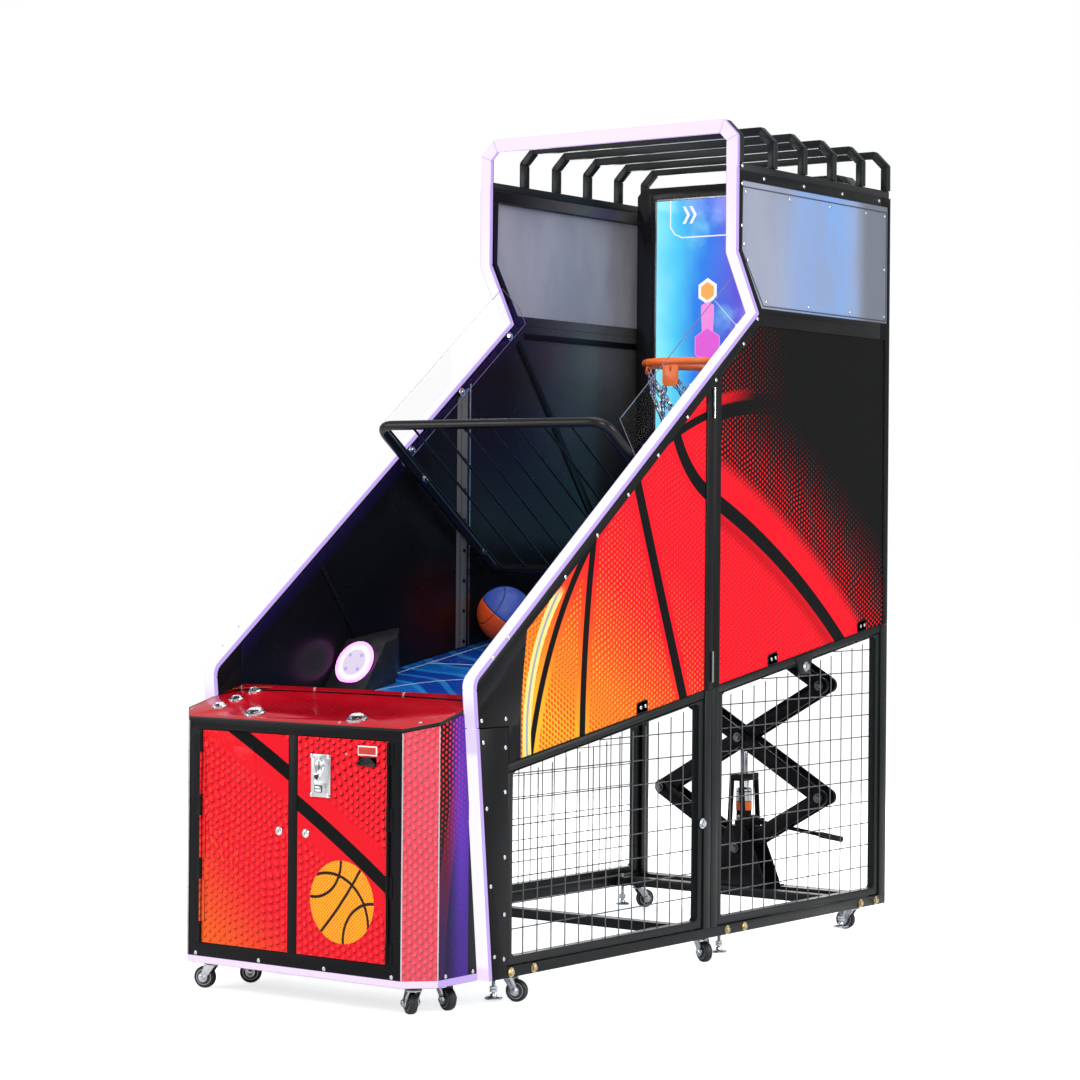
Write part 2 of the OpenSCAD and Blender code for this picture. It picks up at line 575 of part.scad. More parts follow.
// thin cuts between the members of a wall frame
module member_cuts() {
  f = gfx_front(24);
  r = gfx_rear(24);
  x0 = xi - 1;
  x1 = hw + 1;
  w = [0, seam_gap / 2];
  k = [1, slope];
  bx([x0, mid_y - seam_gap / 2, 0], [x1, mid_y + seam_gap / 2, corner_z]);
  bx([x0, yk, cover_top_z + 2], [x1, f[0][0], cover_top_z + 2 + seam_gap]);
  for (y = [f[0][0], f[3][0], r[0][0], r[4][0]]) bx([x0, y, 0], [x1, y + seam_gap, sz(y) + 28]);
  for (e = [[f[1] - k * 260, f[2] + k * 64], [r[1] - k * 64, r[2]]]) yz(x0, x1,
      [e[0] - w, e[1] - w, e[1] + w, e[0] + w]);
  for (z = [r[2][1], up_in[len(up_in) - 3][1], corner_z + 26, win_p[1][1], roof_rail_z - 40])
    bx([x0, py, z], [x1, yr - 62, z + seam_gap]);
  bx([x0, yr - 62, corner_z - 100], [x1, yr - 62 + seam_gap, machine_height]);
}
// graphic sheet outlines, drawn in by d
function gfx_front(d) = let (m = 43 + d, b = off([knee_p, [yc, corner_z]], m))
  let (k = (b[1][1] - b[0][1]) / (b[1][0] - b[0][0]), y0 = col_y + 34 + d, y1 = mid_y - 40 - d)
  [[y0, sz(y0) + 4 + d], [y0 + 46, b[0][1] + (y0 + 46 - b[0][0]) * k], [y1, b[0][1] + (y1 - b[0][0]) * k],
      [y1, sz(y1) + 4 + d]];
function gfx_rear(d) = let (m = 43 + d, b = off([knee_p, [yc, corner_z]], m))
  let (k = (b[1][1] - b[0][1]) / (b[1][0] - b[0][0]), y0 = mid_y + 40 + d, y1 = yr - 28 - d)
  [[y0, sz(y0) + 4 + d], [y0, b[0][1] + (y0 - b[0][0]) * k],
   [b[0][0] + (corner_z - 40 - d - b[0][1]) / k, corner_z - 40 - d], [y1, corner_z - 40 - d],
       [y1, sz(y1) + 4 + d]];
function off_win(d) = [[win_p[0][0] - d, win_p[0][1] + d], [win_p[1][0] - d, win_p[1][1] - d * 0.3],
  [win_p[2][0] - d * 0.55, win_p[2][1] - d], [win_p[3][0] + d, win_p[3][1] - d],
      [win_p[4][0] + d, win_p[4][1] + d]];
module side_panels() color([0.8, 0.1, 0.06]) both() {
  yz(hw - 6, hw - 3, gfx_front(0.3));
  yz(hw - 6, hw - 3, gfx_rear(0.3));
  // inner wall sheets
  q = off(edge_up, 22);
  n = len(q);
  difference() {
    yz(xi, xi + 3, concat([[col_y - 40, cover_top_z + 10],
        [col_y - 40, lz(col_y - 40) - 22 * sqrt(1 + slope * slope)]],
      [for (i = [n - 3 : n - 2]) q[i]], [[q[n - 2][0], roof_rail_z - 4], [yr - 23, roof_rail_z - 4],
      [yr - 23, sz(yr) + 44], [col_y, sz(col_y) + 6]]));
    yz(xi - 1, xi + 5, win_p);
    bx([xi - 1, yr - 62, 0], [xi + 5, yr, machine_height]);
    // seams between the sheets
    bx([xi - 1, mid_y, 0], [xi + 5, mid_y + seam_gap, corner_z - 60]);
    for (z = [q[n - 3][1], corner_z + 26, q[n - 2][1], roof_rail_z - 40])
      bx([xi - 1, py, z], [xi + 5, yr, z + seam_gap]);
  }
}
module window_panels() color([0.72, 0.73, 0.82]) both() yz(hw - 6, hw - 3, off_win(10.7));
module portal(y0, y1, w, z0) {
  o = [[hw, z0], [hw, z_port], [hw - portal_chamfer, machine_height],
      [-hw + portal_chamfer, machine_height], [-hw, z_port], [-hw, z0]];
  i = off(rev(o), w);
  xz(y0, y1, concat(o, [for (k = [0 : 5]) [i[k][0], k == 0 || k == 5 ? z0 : i[k][1]]]));
}
// thin cuts where the straight lengths of a portal or hoop of width w meet
module corner_cuts(y0, y1, w) both() {
  k = w * 0.414;
  o1 = [hw, z_port];
  o2 = [hw - portal_chamfer, machine_height];
  for (e = [[o1, [hw - w, z_port - k]], [o2, [hw - portal_chamfer - k, machine_height - w]]]) {
    v = unit(e[1] - e[0]);
    n = [-v[1], v[0]] * seam_gap / 2;
    xz(y0, y1, [e[0] - v + n, e[1] + v + n, e[1] + v - n, e[0] - v - n]);
  }
}
module light_strips() color([0.95, 0.95, 1]) {
  n = len(edge_up);
  s = concat([for (i = [0 : n - 2]) edge_up[i]], [[py, z_port - 100]]);
  both() lengths(xi, hw, s, strip_depth, [[0, 1], [1, n - 4], [n - 4, n - 3], [n - 3, n - 2],
      [n - 2, n - 1]]);
  difference() {
    portal(py, py + strip_depth, wall_thick, z_port - 100 + seam_gap / 2);
    corner_cuts(py - 1, py + strip_depth + 1, wall_thick);
  }
}
hoop_y = [py + strip_depth, py + 212, py + 393, py + 575, py + 761, yr - 25];
module roof_bars() color([0.07, 0.07, 0.08]) {
  both() bx([hw - 30, py + strip_depth, roof_rail_z], [hw - 5, yr, roof_rail_z + 25]);
  for (y = hoop_y) difference() {
    portal(y, y + 25, 25, roof_rail_z + 25 + seam_gap);
    corner_cuts(y - 1, y + 26, 25);
  }
}
module ball_ramp() color([0.1, 0.3, 0.75]) {
  a = yf + deck_depth + 14;
  b = yr - 62;
  yz(-xi, xi, [[a, rz(a) - 12], [a, rz(a) + 24], [a + 5, rz(a) + 24], [a + 5, rz(a + 5)], [b, rz(b)],
      [b, rz(b) - 12]]);
}
module clear_guards() color([0.85, 0.88, 0.95, 0.35]) both() {
  v = unit([corner_run, corner_z - knee_z]);
  n = [v[1], -v[0]];
  a = [py - 550, lz(py - 550) + 157 * 1.26 - 40];
  yz(xi - 11, xi - 7, [a, a + v * 762, a + v * 800 + n * 100, a + v * 800 + n * 165, a + n * 165]);
  for (t = [60, 380, 700]) let (p = a + v * t + n * 148) cyl_x(p[0], p[1], xi - 7.3, xi, 12);
}
gy = py - 599;
gz = lz(py - 599) + 186;
gy2 = py + 1;
gz2 = gz - 447;
module ball_grille() color([0.07, 0.07, 0.08]) {
  r = grille_tube_r;
  x = xi - 12.4 - r;
  e = unit([gy2 - gy, gz2 - gz]);
  rod([-x + 40, gy, gz], [x - 40, gy, gz], r);
  rod([-x, gy2, gz2], [x, gy2, gz2], r);
  both() {
    rod([x - 41, gy, gz], [x, gy + e[0] * 40, gz + e[1] * 40], r);
    rod([x, gy + e[0] * 38, gz + e[1] * 38], [x, gy2, gz2], r);
    translate([x, gy2, gz2]) sphere(r = r + 0.2, $fn = 32);
    translate([x, gy + e[0] * 39, gz + e[1] * 39]) sphere(r = r + 0.2, $fn = 32);
    translate([x - 40.5, gy, gz]) sphere(r = r + 0.2, $fn = 32);
    for (t = [0.36, 0.88]) cyl_x(gy + (gy2 - gy) * t, gz + (gz2 - gz) * t, x + 8, xi, 13);
  }
  for (i = [-4 : 4]) rod([i * rod_pitch, gy + 3, gz - 3], [i * rod_pitch, gy2 - 3, gz2 + 3], 4, 16);
}
module speaker_pods() color([0.1, 0.1, 0.11]) both() {
  a = py - 793;
  b = py - 454;
  w = xi - 300;
  difference() {
    yz(300, xi, [[a - 28, rz(a - 28)], [b, rz(b)], [b - 25, rz(b) + 125], [a + 83, rz(a) + 150]]);
    translate([300, a + 127, 600]) rotate([0, 0, 53.5]) bx([-10, 0, 0], [400, 300, 600]);
    translate([300, a, 600]) rotate([0, 0, -10]) bx([-20, -100, 0], [300, -1, 215]);
  }
  translate([378, a + 32, rz(a) + 82]) rotate([63, 0, 0]) translate([0, 0, -6]) cylinder(h = 14, r = 66,
      $fn = 48);
}
hz1 = roof_rail_z + 72;                 // top of the display housing
sx = screen_w / 2;
sz1 = hz1 - 40;
sz0 = sz1 - screen_h;
dy = yr - 165;                          // front of the display housing
module display_housing() color([0.05, 0.05, 0.06]) difference() {
  xz(dy, dy + 105, [[-sx - 75, sz0 - 60], [sx + 75, sz0 - 60], [sx + 75, hz1 - 26], [sx + 49, hz1],
      [-sx - 49, hz1], [-sx - 75, hz1 - 26]]);
  bx([-sx, dy - 1, sz0], [sx, dy + 30, sz1]);
  bx([-sx - 55, dy + 40, sz0 - 40], [sx + 55, dy + 106, hz1 - 30]);
}
module display_screen() color([0.2, 0.45, 0.95]) bx([-sx + 0.5, dy + 2, sz0],
    [sx - 0.5, dy + 30, sz1 - 0.5]);
rim_y = dy - rim_r - 27;
module hoop_rim() color([0.9, 0.3, 0.06]) {
  translate([0, rim_y, rim_z]) rotate_extrude($fn = 96) translate([rim_r, 0]) circle(r = rim_tube_r,
      $fn = 20);
  bx([-75, dy - 6, rim_z - 95], [75, dy + 2, rim_z + 25]);
  for (s = [-1, 1]) bx([s * 50 - 5, rim_y + rim_r - 14, rim_z - 8], [s * 50 + 5, dy - 5.7, rim_z + 8]);
  bx([-31, rim_y - rim_r - 3, rim_z - 82], [31, rim_y - rim_r + 1.6, rim_z - 6]);
  for (i = [0 : 9]) rotate_at(i * 36 + 18) rod([rim_r - 2, 0, rim_z - 8], [rim_r - 4, 0, rim_z - 34], 3,
      12);
}
module rotate_at(a) { translate([0, rim_y, 0]) rotate([0, 0, a]) children(); }
module chain_net() color([0.75, 0.76, 0.78]) translate([0, rim_y, 0]) rotate_extrude($fn = 60)
  polygon([[rim_r - 6, rim_z - 34.6], [rim_r - 2, rim_z - 34.6], [rim_r - 58, rim_z - 190],
      [rim_r - 68, rim_z - 310],
    [rim_r - 72, rim_z - 310], [rim_r - 62, rim_z - 190]]);

base_frame();
lower_posts();
mesh_panels();
column_covers();
lower_light_strips();
cabinet_shell();
control_deck();
jack_base();
door_left();
door_right();
coin_plate();
button_big_left();
button_big_right();
button_small_1();
button_small_2();
button_small_3();
arm_lower_left();
arm_lower_right();
arm_cross_a();
arm_cross_b();
arm_upper_left();
arm_upper_right();
jack_ram();
jack_handle();
levelling_feet();
basketball();
upper_frame();
side_panels();
window_panels();
light_strips();
roof_bars();
ball_ramp();
clear_guards();
ball_grille();
speaker_pods();
display_housing();
display_screen();
hoop_rim();
chain_net();
caster_swivel_1();
caster_swivel_2();
caster_swivel_3();
caster_swivel_4();
caster_swivel_5();
caster_swivel_6();
caster_swivel_7();
caster_swivel_8();
caster_swivel_9();
caster_swivel_10();
caster_wheel_1();
caster_wheel_2();
caster_wheel_3();
caster_wheel_4();
caster_wheel_5();
caster_wheel_6();
caster_wheel_7();
caster_wheel_8();
caster_wheel_9();
caster_wheel_10();
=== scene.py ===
"""Looks of the basketball hoop machine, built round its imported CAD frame.

Every length is in metres. +Z is up, +X is the player's right and +Y runs into the machine.
Each sub-assembly is a class that holds its sizes, models its pieces and dresses them.
"""

import contextlib
import json
import logging
import math
import random
from dataclasses import dataclass
from enum import Enum
from typing import Callable, Iterator, Optional, Sequence, Union

import bmesh
import bpy
from mathutils import Matrix, Vector


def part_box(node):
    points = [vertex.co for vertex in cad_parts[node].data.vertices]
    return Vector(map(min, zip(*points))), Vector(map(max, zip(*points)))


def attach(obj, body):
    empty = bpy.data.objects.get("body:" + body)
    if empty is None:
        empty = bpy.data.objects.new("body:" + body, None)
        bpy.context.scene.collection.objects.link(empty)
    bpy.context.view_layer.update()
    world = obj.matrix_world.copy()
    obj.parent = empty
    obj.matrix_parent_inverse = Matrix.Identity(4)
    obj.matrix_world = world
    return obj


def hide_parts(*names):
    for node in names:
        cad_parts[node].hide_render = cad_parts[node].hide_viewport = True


logging.basicConfig(level=logging.INFO, format="%(message)s")
LOG = logging.getLogger("hoop_machine")

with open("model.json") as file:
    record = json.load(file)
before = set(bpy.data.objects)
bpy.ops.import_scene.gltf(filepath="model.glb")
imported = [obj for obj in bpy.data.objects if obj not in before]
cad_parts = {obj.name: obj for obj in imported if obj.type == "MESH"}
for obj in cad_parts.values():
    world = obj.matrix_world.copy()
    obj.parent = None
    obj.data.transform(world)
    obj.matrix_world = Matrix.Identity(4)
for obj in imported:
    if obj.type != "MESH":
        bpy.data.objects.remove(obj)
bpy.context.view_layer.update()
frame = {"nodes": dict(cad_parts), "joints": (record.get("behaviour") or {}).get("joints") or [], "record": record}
BODY_OF = {n: b for b, group in frame["record"]["behaviour"]["bodies"].items() for n in group}

Piece = bpy.types.Object
Socket = bpy.types.NodeSocket
Value = Union[float, Socket]
Colour = tuple[float, float, float]
Tint = Union[Colour, Socket]
Point2 = tuple[float, float]
TO_PLAYER = (0, -1, 0)


# ---------------------------------------------------------------- layout


@dataclass(frozen=True)
class Layout:
    """Driving dimensions of the machine, as the frame has them."""

    half_width: float = 0.5
    wall: float = 0.042
    front: float = -1.2105
    rear: float = 1.2195
    gap: float = 0.084
    knee_y: float = -1.0395
    knee_z: float = 0.913
    corner_y: float = 0.3855
    corner_z: float = 2.006
    portal_y: float = 0.2685
    bend_z: float = 2.186
    column_y: float = -0.8775
    post_y: float = 0.1505
    roof_rail: float = 2.44
    lift_y: float = 1.1245
    door_z: float = 0.142
    deck_angle: float = math.radians(14.6)
    seam_slope: float = math.tan(math.radians(9.34))

    @property
    def inner(self) -> float:
        """Half the clear width between the walls."""
        return self.half_width - self.wall

    def seam(self, y: float) -> float:
        """Height of the seam between the lower and upper frames at depth y."""
        return 0.674 + (y - self.column_y) * self.seam_slope

    def ramp(self, y: float) -> float:
        """Height of the ball ramp at depth y."""
        return self.seam(y) + 0.097

    def slope(self, y: float) -> float:
        """Height of the sloped wall edge at depth y."""
        rise = (self.corner_z - self.knee_z) / (self.corner_y - self.knee_y)
        return self.knee_z + (y - self.knee_y) * rise

    def wall_front(self, z: float) -> float:
        """Depth of the slanted wall front at height z."""
        return self.knee_y + (self.knee_z - z) * 0.0983

    def deck(self, y: float) -> float:
        """Height of the control deck at depth y."""
        return 0.785 + (y - self.front) * math.tan(self.deck_angle)


LAYOUT = Layout()


class Side(Enum):
    """The two walls of the machine, by the sign of X."""

    LEFT = -1
    RIGHT = 1


# ---------------------------------------------------------------- node graphs and finishes


class Graph:
    """One material's node tree, with short names for the nodes that the finishes share."""

    def __init__(self, name: str) -> None:
        """Makes the material and splits its object coordinates.

        Args:
            name: The material's name.
        """
        self.material = bpy.data.materials.new(name)
        self.material.use_nodes = True
        self.tree = self.material.node_tree
        self.shader = self.tree.nodes["Principled BSDF"]
        self.place = self.tree.nodes.new("ShaderNodeTexCoord").outputs["Object"]
        split = self.tree.nodes.new("ShaderNodeSeparateXYZ")
        self.tree.links.new(self.place, split.inputs[0])
        self.x, self.y, self.z = split.outputs

    def feed(self, socket: Socket, value: Union[Value, Tint]) -> None:
        """Links value to socket, or sets it there when it is a constant."""
        if isinstance(value, bpy.types.NodeSocket):
            self.tree.links.new(value, socket)
        elif isinstance(value, tuple) and len(value) == 3 and len(socket.default_value) == 4:
            socket.default_value = (*value, 1.0)
        else:
            socket.default_value = value

    def math(self, operation: str, *terms: Value) -> Socket:
        """Returns a Math node's result for one to three terms."""
        node = self.tree.nodes.new("ShaderNodeMath")
        node.operation = operation
        for socket, term in zip(node.inputs, terms):
            self.feed(socket, term)
        return node.outputs[0]

    def add(self, *values: Value) -> Socket:
        """Adds two values."""
        return self.math("ADD", *values)

    def sub(self, *values: Value) -> Socket:
        """Takes the second value from the first."""
        return self.math("SUBTRACT", *values)

    def mul(self, *values: Value) -> Socket:
        """Multiplies two values."""
        return self.math("MULTIPLY", *values)

    def step(self, value: Value, low: float, high: float, first: float = 0.0, last: float = 1.0) -> Socket:
        """Returns a smooth step of value, from first at low to last at high."""
        node = self.tree.nodes.new("ShaderNodeMapRange")
        node.interpolation_type = "SMOOTHSTEP"
        for socket, term in zip(node.inputs, (value, low, high, first, last)):
            self.feed(socket, term)
        return node.outputs[0]

    def band(self, value: Value, middle: float, half: float, soft: float = 0.0012) -> Socket:
        """Returns 1 where value lies within half of middle, with an edge soft wide."""
        away = self.math("ABSOLUTE", self.sub(value, middle))
        return self.step(away, half - soft, half + soft, 1.0, 0.0)

    def mix(self, factor: Value, first: Tint, second: Tint) -> Socket:
        """Returns first blended towards second by factor."""
        node = self.tree.nodes.new("ShaderNodeMix")
        node.data_type = "RGBA"
        for index, term in ((0, factor), (6, first), (7, second)):
            self.feed(node.inputs[index], term)
        return node.outputs[2]

    def ramp(self, factor: Value, stops: Sequence[tuple[float, Colour]]) -> Socket:
        """Returns a colour ramp's colour at factor.

        Args:
            factor: Place along the ramp.
            stops: Each stop's place and colour, in order.
        """
        node = self.tree.nodes.new("ShaderNodeValToRGB")
        self.feed(node.inputs[0], factor)
        stock = node.color_ramp.elements
        while len(stock) < len(stops):
            stock.new(0.5)
        for element, (place, colour) in zip(stock, stops):
            element.position = place
            element.color = (*colour, 1.0)
        return node.outputs[0]

    def flat(self, across: Value, along: Value) -> Socket:
        """Returns a vector that lays a 2-D pattern across and along a sheet."""
        node = self.tree.nodes.new("ShaderNodeCombineXYZ")
        self.feed(node.inputs[0], across)
        self.feed(node.inputs[1], along)
        return node.outputs[0]

    def noise(self, scale: float, detail: float = 2.0, vector: Optional[Socket] = None) -> Socket:
        """Returns a noise value with that many cells a metre."""
        node = self.tree.nodes.new("ShaderNodeTexNoise")
        self.tree.links.new(vector or self.place, node.inputs["Vector"])
        node.inputs["Scale"].default_value = scale
        node.inputs["Detail"].default_value = detail
        return node.outputs["Fac"]

    def bump(self, height: Socket, strength: float, depth: float) -> None:
        """Feeds the shader's normal with a bump of that depth in metres."""
        node = self.tree.nodes.new("ShaderNodeBump")
        node.inputs["Strength"].default_value = strength
        node.inputs["Distance"].default_value = depth
        self.tree.links.new(height, node.inputs["Height"])
        self.tree.links.new(node.outputs[0], self.shader.inputs["Normal"])

    def set(self, **values: Union[Value, Tint]) -> None:
        """Feeds the shader's sockets, named with underscores for spaces."""
        for name, value in values.items():
            self.feed(self.shader.inputs[name.replace("_", " ")], value)

    def from_point(self, across: Socket, along: Socket, centre: Point2) -> Socket:
        """Returns the distance from centre on a sheet."""
        first = self.math("POWER", self.sub(across, centre[0]), 2.0)
        second = self.math("POWER", self.sub(along, centre[1]), 2.0)
        return self.math("SQRT", self.add(first, second))


class Finish:
    """A finish that draws itself on a new material's node tree."""

    name: str

    def build(self) -> bpy.types.Material:
        """Returns the finish as a material."""
        g = Graph(self.name)
        self.draw(g)
        return g.material

    def draw(self, g: Graph) -> None:
        """Draws the finish. Each finish has its own way."""
        raise NotImplementedError


@dataclass(frozen=True)
class Paint(Finish):
    """Powder coat or lacquer: slight mottling, an orange-peel surface and soft gloss."""

    name: str
    colour: Colour
    roughness: float = 0.38
    gloss: float = 0.10
    peel: float = 0.25

    def draw(self, g: Graph) -> None:
        """Draws the finish."""
        lighter = tuple(min(1.0, c * 1.4 + 0.0015) for c in self.colour)
        cloud = g.noise(5.0, 4.0)
        scuff = g.step(g.noise(46.0, 6.0), 0.62, 0.74)
        tone = g.mix(g.mul(cloud, 0.6), self.colour, lighter)
        g.set(Base_Color=g.mix(g.mul(scuff, 0.25), tone, lighter))
        g.set(Roughness=g.step(cloud, 0.3, 0.7, self.roughness - 0.05, self.roughness + 0.07))
        g.shader.inputs["Specular IOR Level"].default_value = self.gloss
        g.bump(g.noise(620.0, 2.0), self.peel, 0.0002)


@dataclass(frozen=True)
class Metal(Finish):
    """Bare or plated metal with fine drawn lines and dull patches."""

    name: str
    colour: Colour
    roughness: float = 0.22
    lines: float = 0.15

    def draw(self, g: Graph) -> None:
        """Draws the finish."""
        patch = g.noise(38.0, 5.0)
        dull = tuple(c * 0.78 for c in self.colour)
        g.set(Base_Color=g.mix(patch, self.colour, dull), Metallic=1.0)
        g.set(Roughness=g.step(patch, 0.25, 0.8, self.roughness - 0.06, self.roughness + 0.12))
        stretched = g.flat(g.mul(g.x, 0.06), g.z)
        g.bump(g.noise(1500.0, 2.0, stretched), self.lines, 0.00015)


@dataclass(frozen=True)
class Rubber(Finish):
    """Matt moulded rubber or plastic."""

    name: str
    colour: Colour
    roughness: float = 0.6

    def draw(self, g: Graph) -> None:
        """Draws the finish."""
        dust = tuple(min(1.0, c * 1.6 + 0.004) for c in self.colour)
        g.set(Base_Color=g.mix(g.step(g.noise(60.0, 5.0), 0.45, 0.8), self.colour, dust))
        g.set(Roughness=g.step(g.noise(25.0), 0.3, 0.7, self.roughness - 0.08, self.roughness + 0.1))
        g.bump(g.noise(1100.0), 0.3, 0.0003)


@dataclass(frozen=True)
class Glow(Finish):
    """A lit diffuser. The light is even, with a faint grain of the plastic."""

    name: str
    colour: Colour
    strength: float

    def draw(self, g: Graph) -> None:
        """Draws the finish."""
        faint = tuple(c * 0.94 for c in self.colour)
        glow = g.mix(g.noise(30.0, 3.0), self.colour, faint)
        g.set(Base_Color=tuple(c * 0.06 for c in self.colour), Roughness=0.35, Emission_Color=glow)
        g.shader.inputs["Specular IOR Level"].default_value = 0.2
        g.shader.inputs["Emission Strength"].default_value = self.strength


@dataclass(frozen=True)
class ClearPlastic(Finish):
    """Clear or frosted acrylic."""

    name: str
    colour: Colour
    roughness: float
    ior: float = 1.49

    def draw(self, g: Graph) -> None:
        """Draws the finish."""
        cloudy = g.noise(7.0, 4.0)
        g.set(Base_Color=self.colour)
        g.set(Roughness=g.step(cloudy, 0.3, 0.7, self.roughness, self.roughness * 1.4 + 0.01))
        g.shader.inputs["Transmission Weight"].default_value = 1.0
        g.shader.inputs["IOR"].default_value = self.ior


@dataclass(frozen=True)
class Arc:
    """A curved printed band, by three points of its middle line and its width."""

    start: Point2
    middle: Point2
    end: Point2
    width: float

    def circle(self) -> tuple[Point2, float]:
        """Returns the centre and radius of the circle through the three points."""
        (ax, ay), (bx, by), (cx, cy) = self.start, self.middle, self.end
        d = 2 * (ax * (by - cy) + bx * (cy - ay) + cx * (ay - by))
        a, b, c = ax * ax + ay * ay, bx * bx + by * by, cx * cx + cy * cy
        x = (a * (by - cy) + b * (cy - ay) + c * (ay - by)) / d
        y = (a * (cx - bx) + b * (ax - cx) + c * (bx - ax)) / d
        return (x, y), math.hypot(ax - x, ay - y)

    def signed(self, g: Graph, across: Socket, along: Socket) -> Socket:
        """Returns the distance outside the circle that the band follows."""
        centre, radius = self.circle()
        return g.sub(g.from_point(across, along, centre), radius)

    def mask(self, g: Graph, across: Socket, along: Socket, extra: float = 0.0) -> Socket:
        """Returns 1 on the band widened by extra on each side."""
        return g.band(self.signed(g, across, along), 0.0, self.width / 2 + extra)


RED: Colour = (0.74, 0.006, 0.016)
DEEP_RED: Colour = (0.26, 0.002, 0.006)
INK: Colour = (0.0035, 0.0038, 0.0042)
YELLOW: Colour = (0.80, 0.42, 0.02)
ORANGE: Colour = (0.80, 0.15, 0.012)


def lattice(g: Graph, across: Value, along: Value, pitch: float) -> Socket:
    """Returns a height field with round bumps packed in rows, from -1.5 between them to 3 on them."""
    wave = 4 * math.pi / (math.sqrt(3.0) * pitch)
    total: Value = 0.0
    for angle in (0.0, 60.0, 120.0):
        first = g.mul(across, wave * math.cos(math.radians(angle)))
        second = g.mul(along, wave * math.sin(math.radians(angle)))
        total = g.add(g.math("COSINE", g.add(first, second)), total)
    return total


def pebbles(g: Graph, across: Socket, along: Socket, size: float,
            shrink: Value = 0.0) -> tuple[Socket, Socket]:
    """Makes the ball-skin print: round pebbles with a lit side and a crescent of shade.

    Args:
        g: The material's graph.
        across: Coordinate across the sheet.
        along: Coordinate up the sheet.
        size: Pitch of the pebbles.
        shrink: Raises the level at which a pebble starts, so it gets smaller.

    Returns:
        The mask of the pebbles' tops and the mask of their shadows.
    """
    drift = g.mul(g.sub(g.noise(7.0, 1.0), 0.5), size * 1.6)
    across, along = g.add(across, drift), g.sub(along, drift)
    low = g.add(shrink, 0.25)
    high = g.add(shrink, 1.15)
    top = g.step(lattice(g, across, along, size), low, high)
    moved = lattice(g, g.sub(across, size * 0.15), g.add(along, size * 0.17), size)
    shade = g.step(moved, 0.1, 0.9)
    return top, g.mul(shade, g.sub(1.0, top))


def printed(g: Graph, art: Socket, relief: Socket, roughness: float = 0.3,
            gloss: float = 0.06) -> bpy.types.Material:
    """Finishes a printed and laminated sheet.

    Args:
        g: The material's graph.
        art: Colour of the print.
        relief: Height map of the print's slight texture.
        roughness: Roughness of the laminate.
        gloss: Strength of its reflections.

    Returns:
        The material.
    """
    g.set(Base_Color=art, Roughness=g.step(g.noise(9.0, 3.0), 0.3, 0.7, roughness - 0.04, roughness + 0.06))
    g.shader.inputs["Specular IOR Level"].default_value = gloss
    g.bump(relief, 0.25, 0.0006)
    return g.material


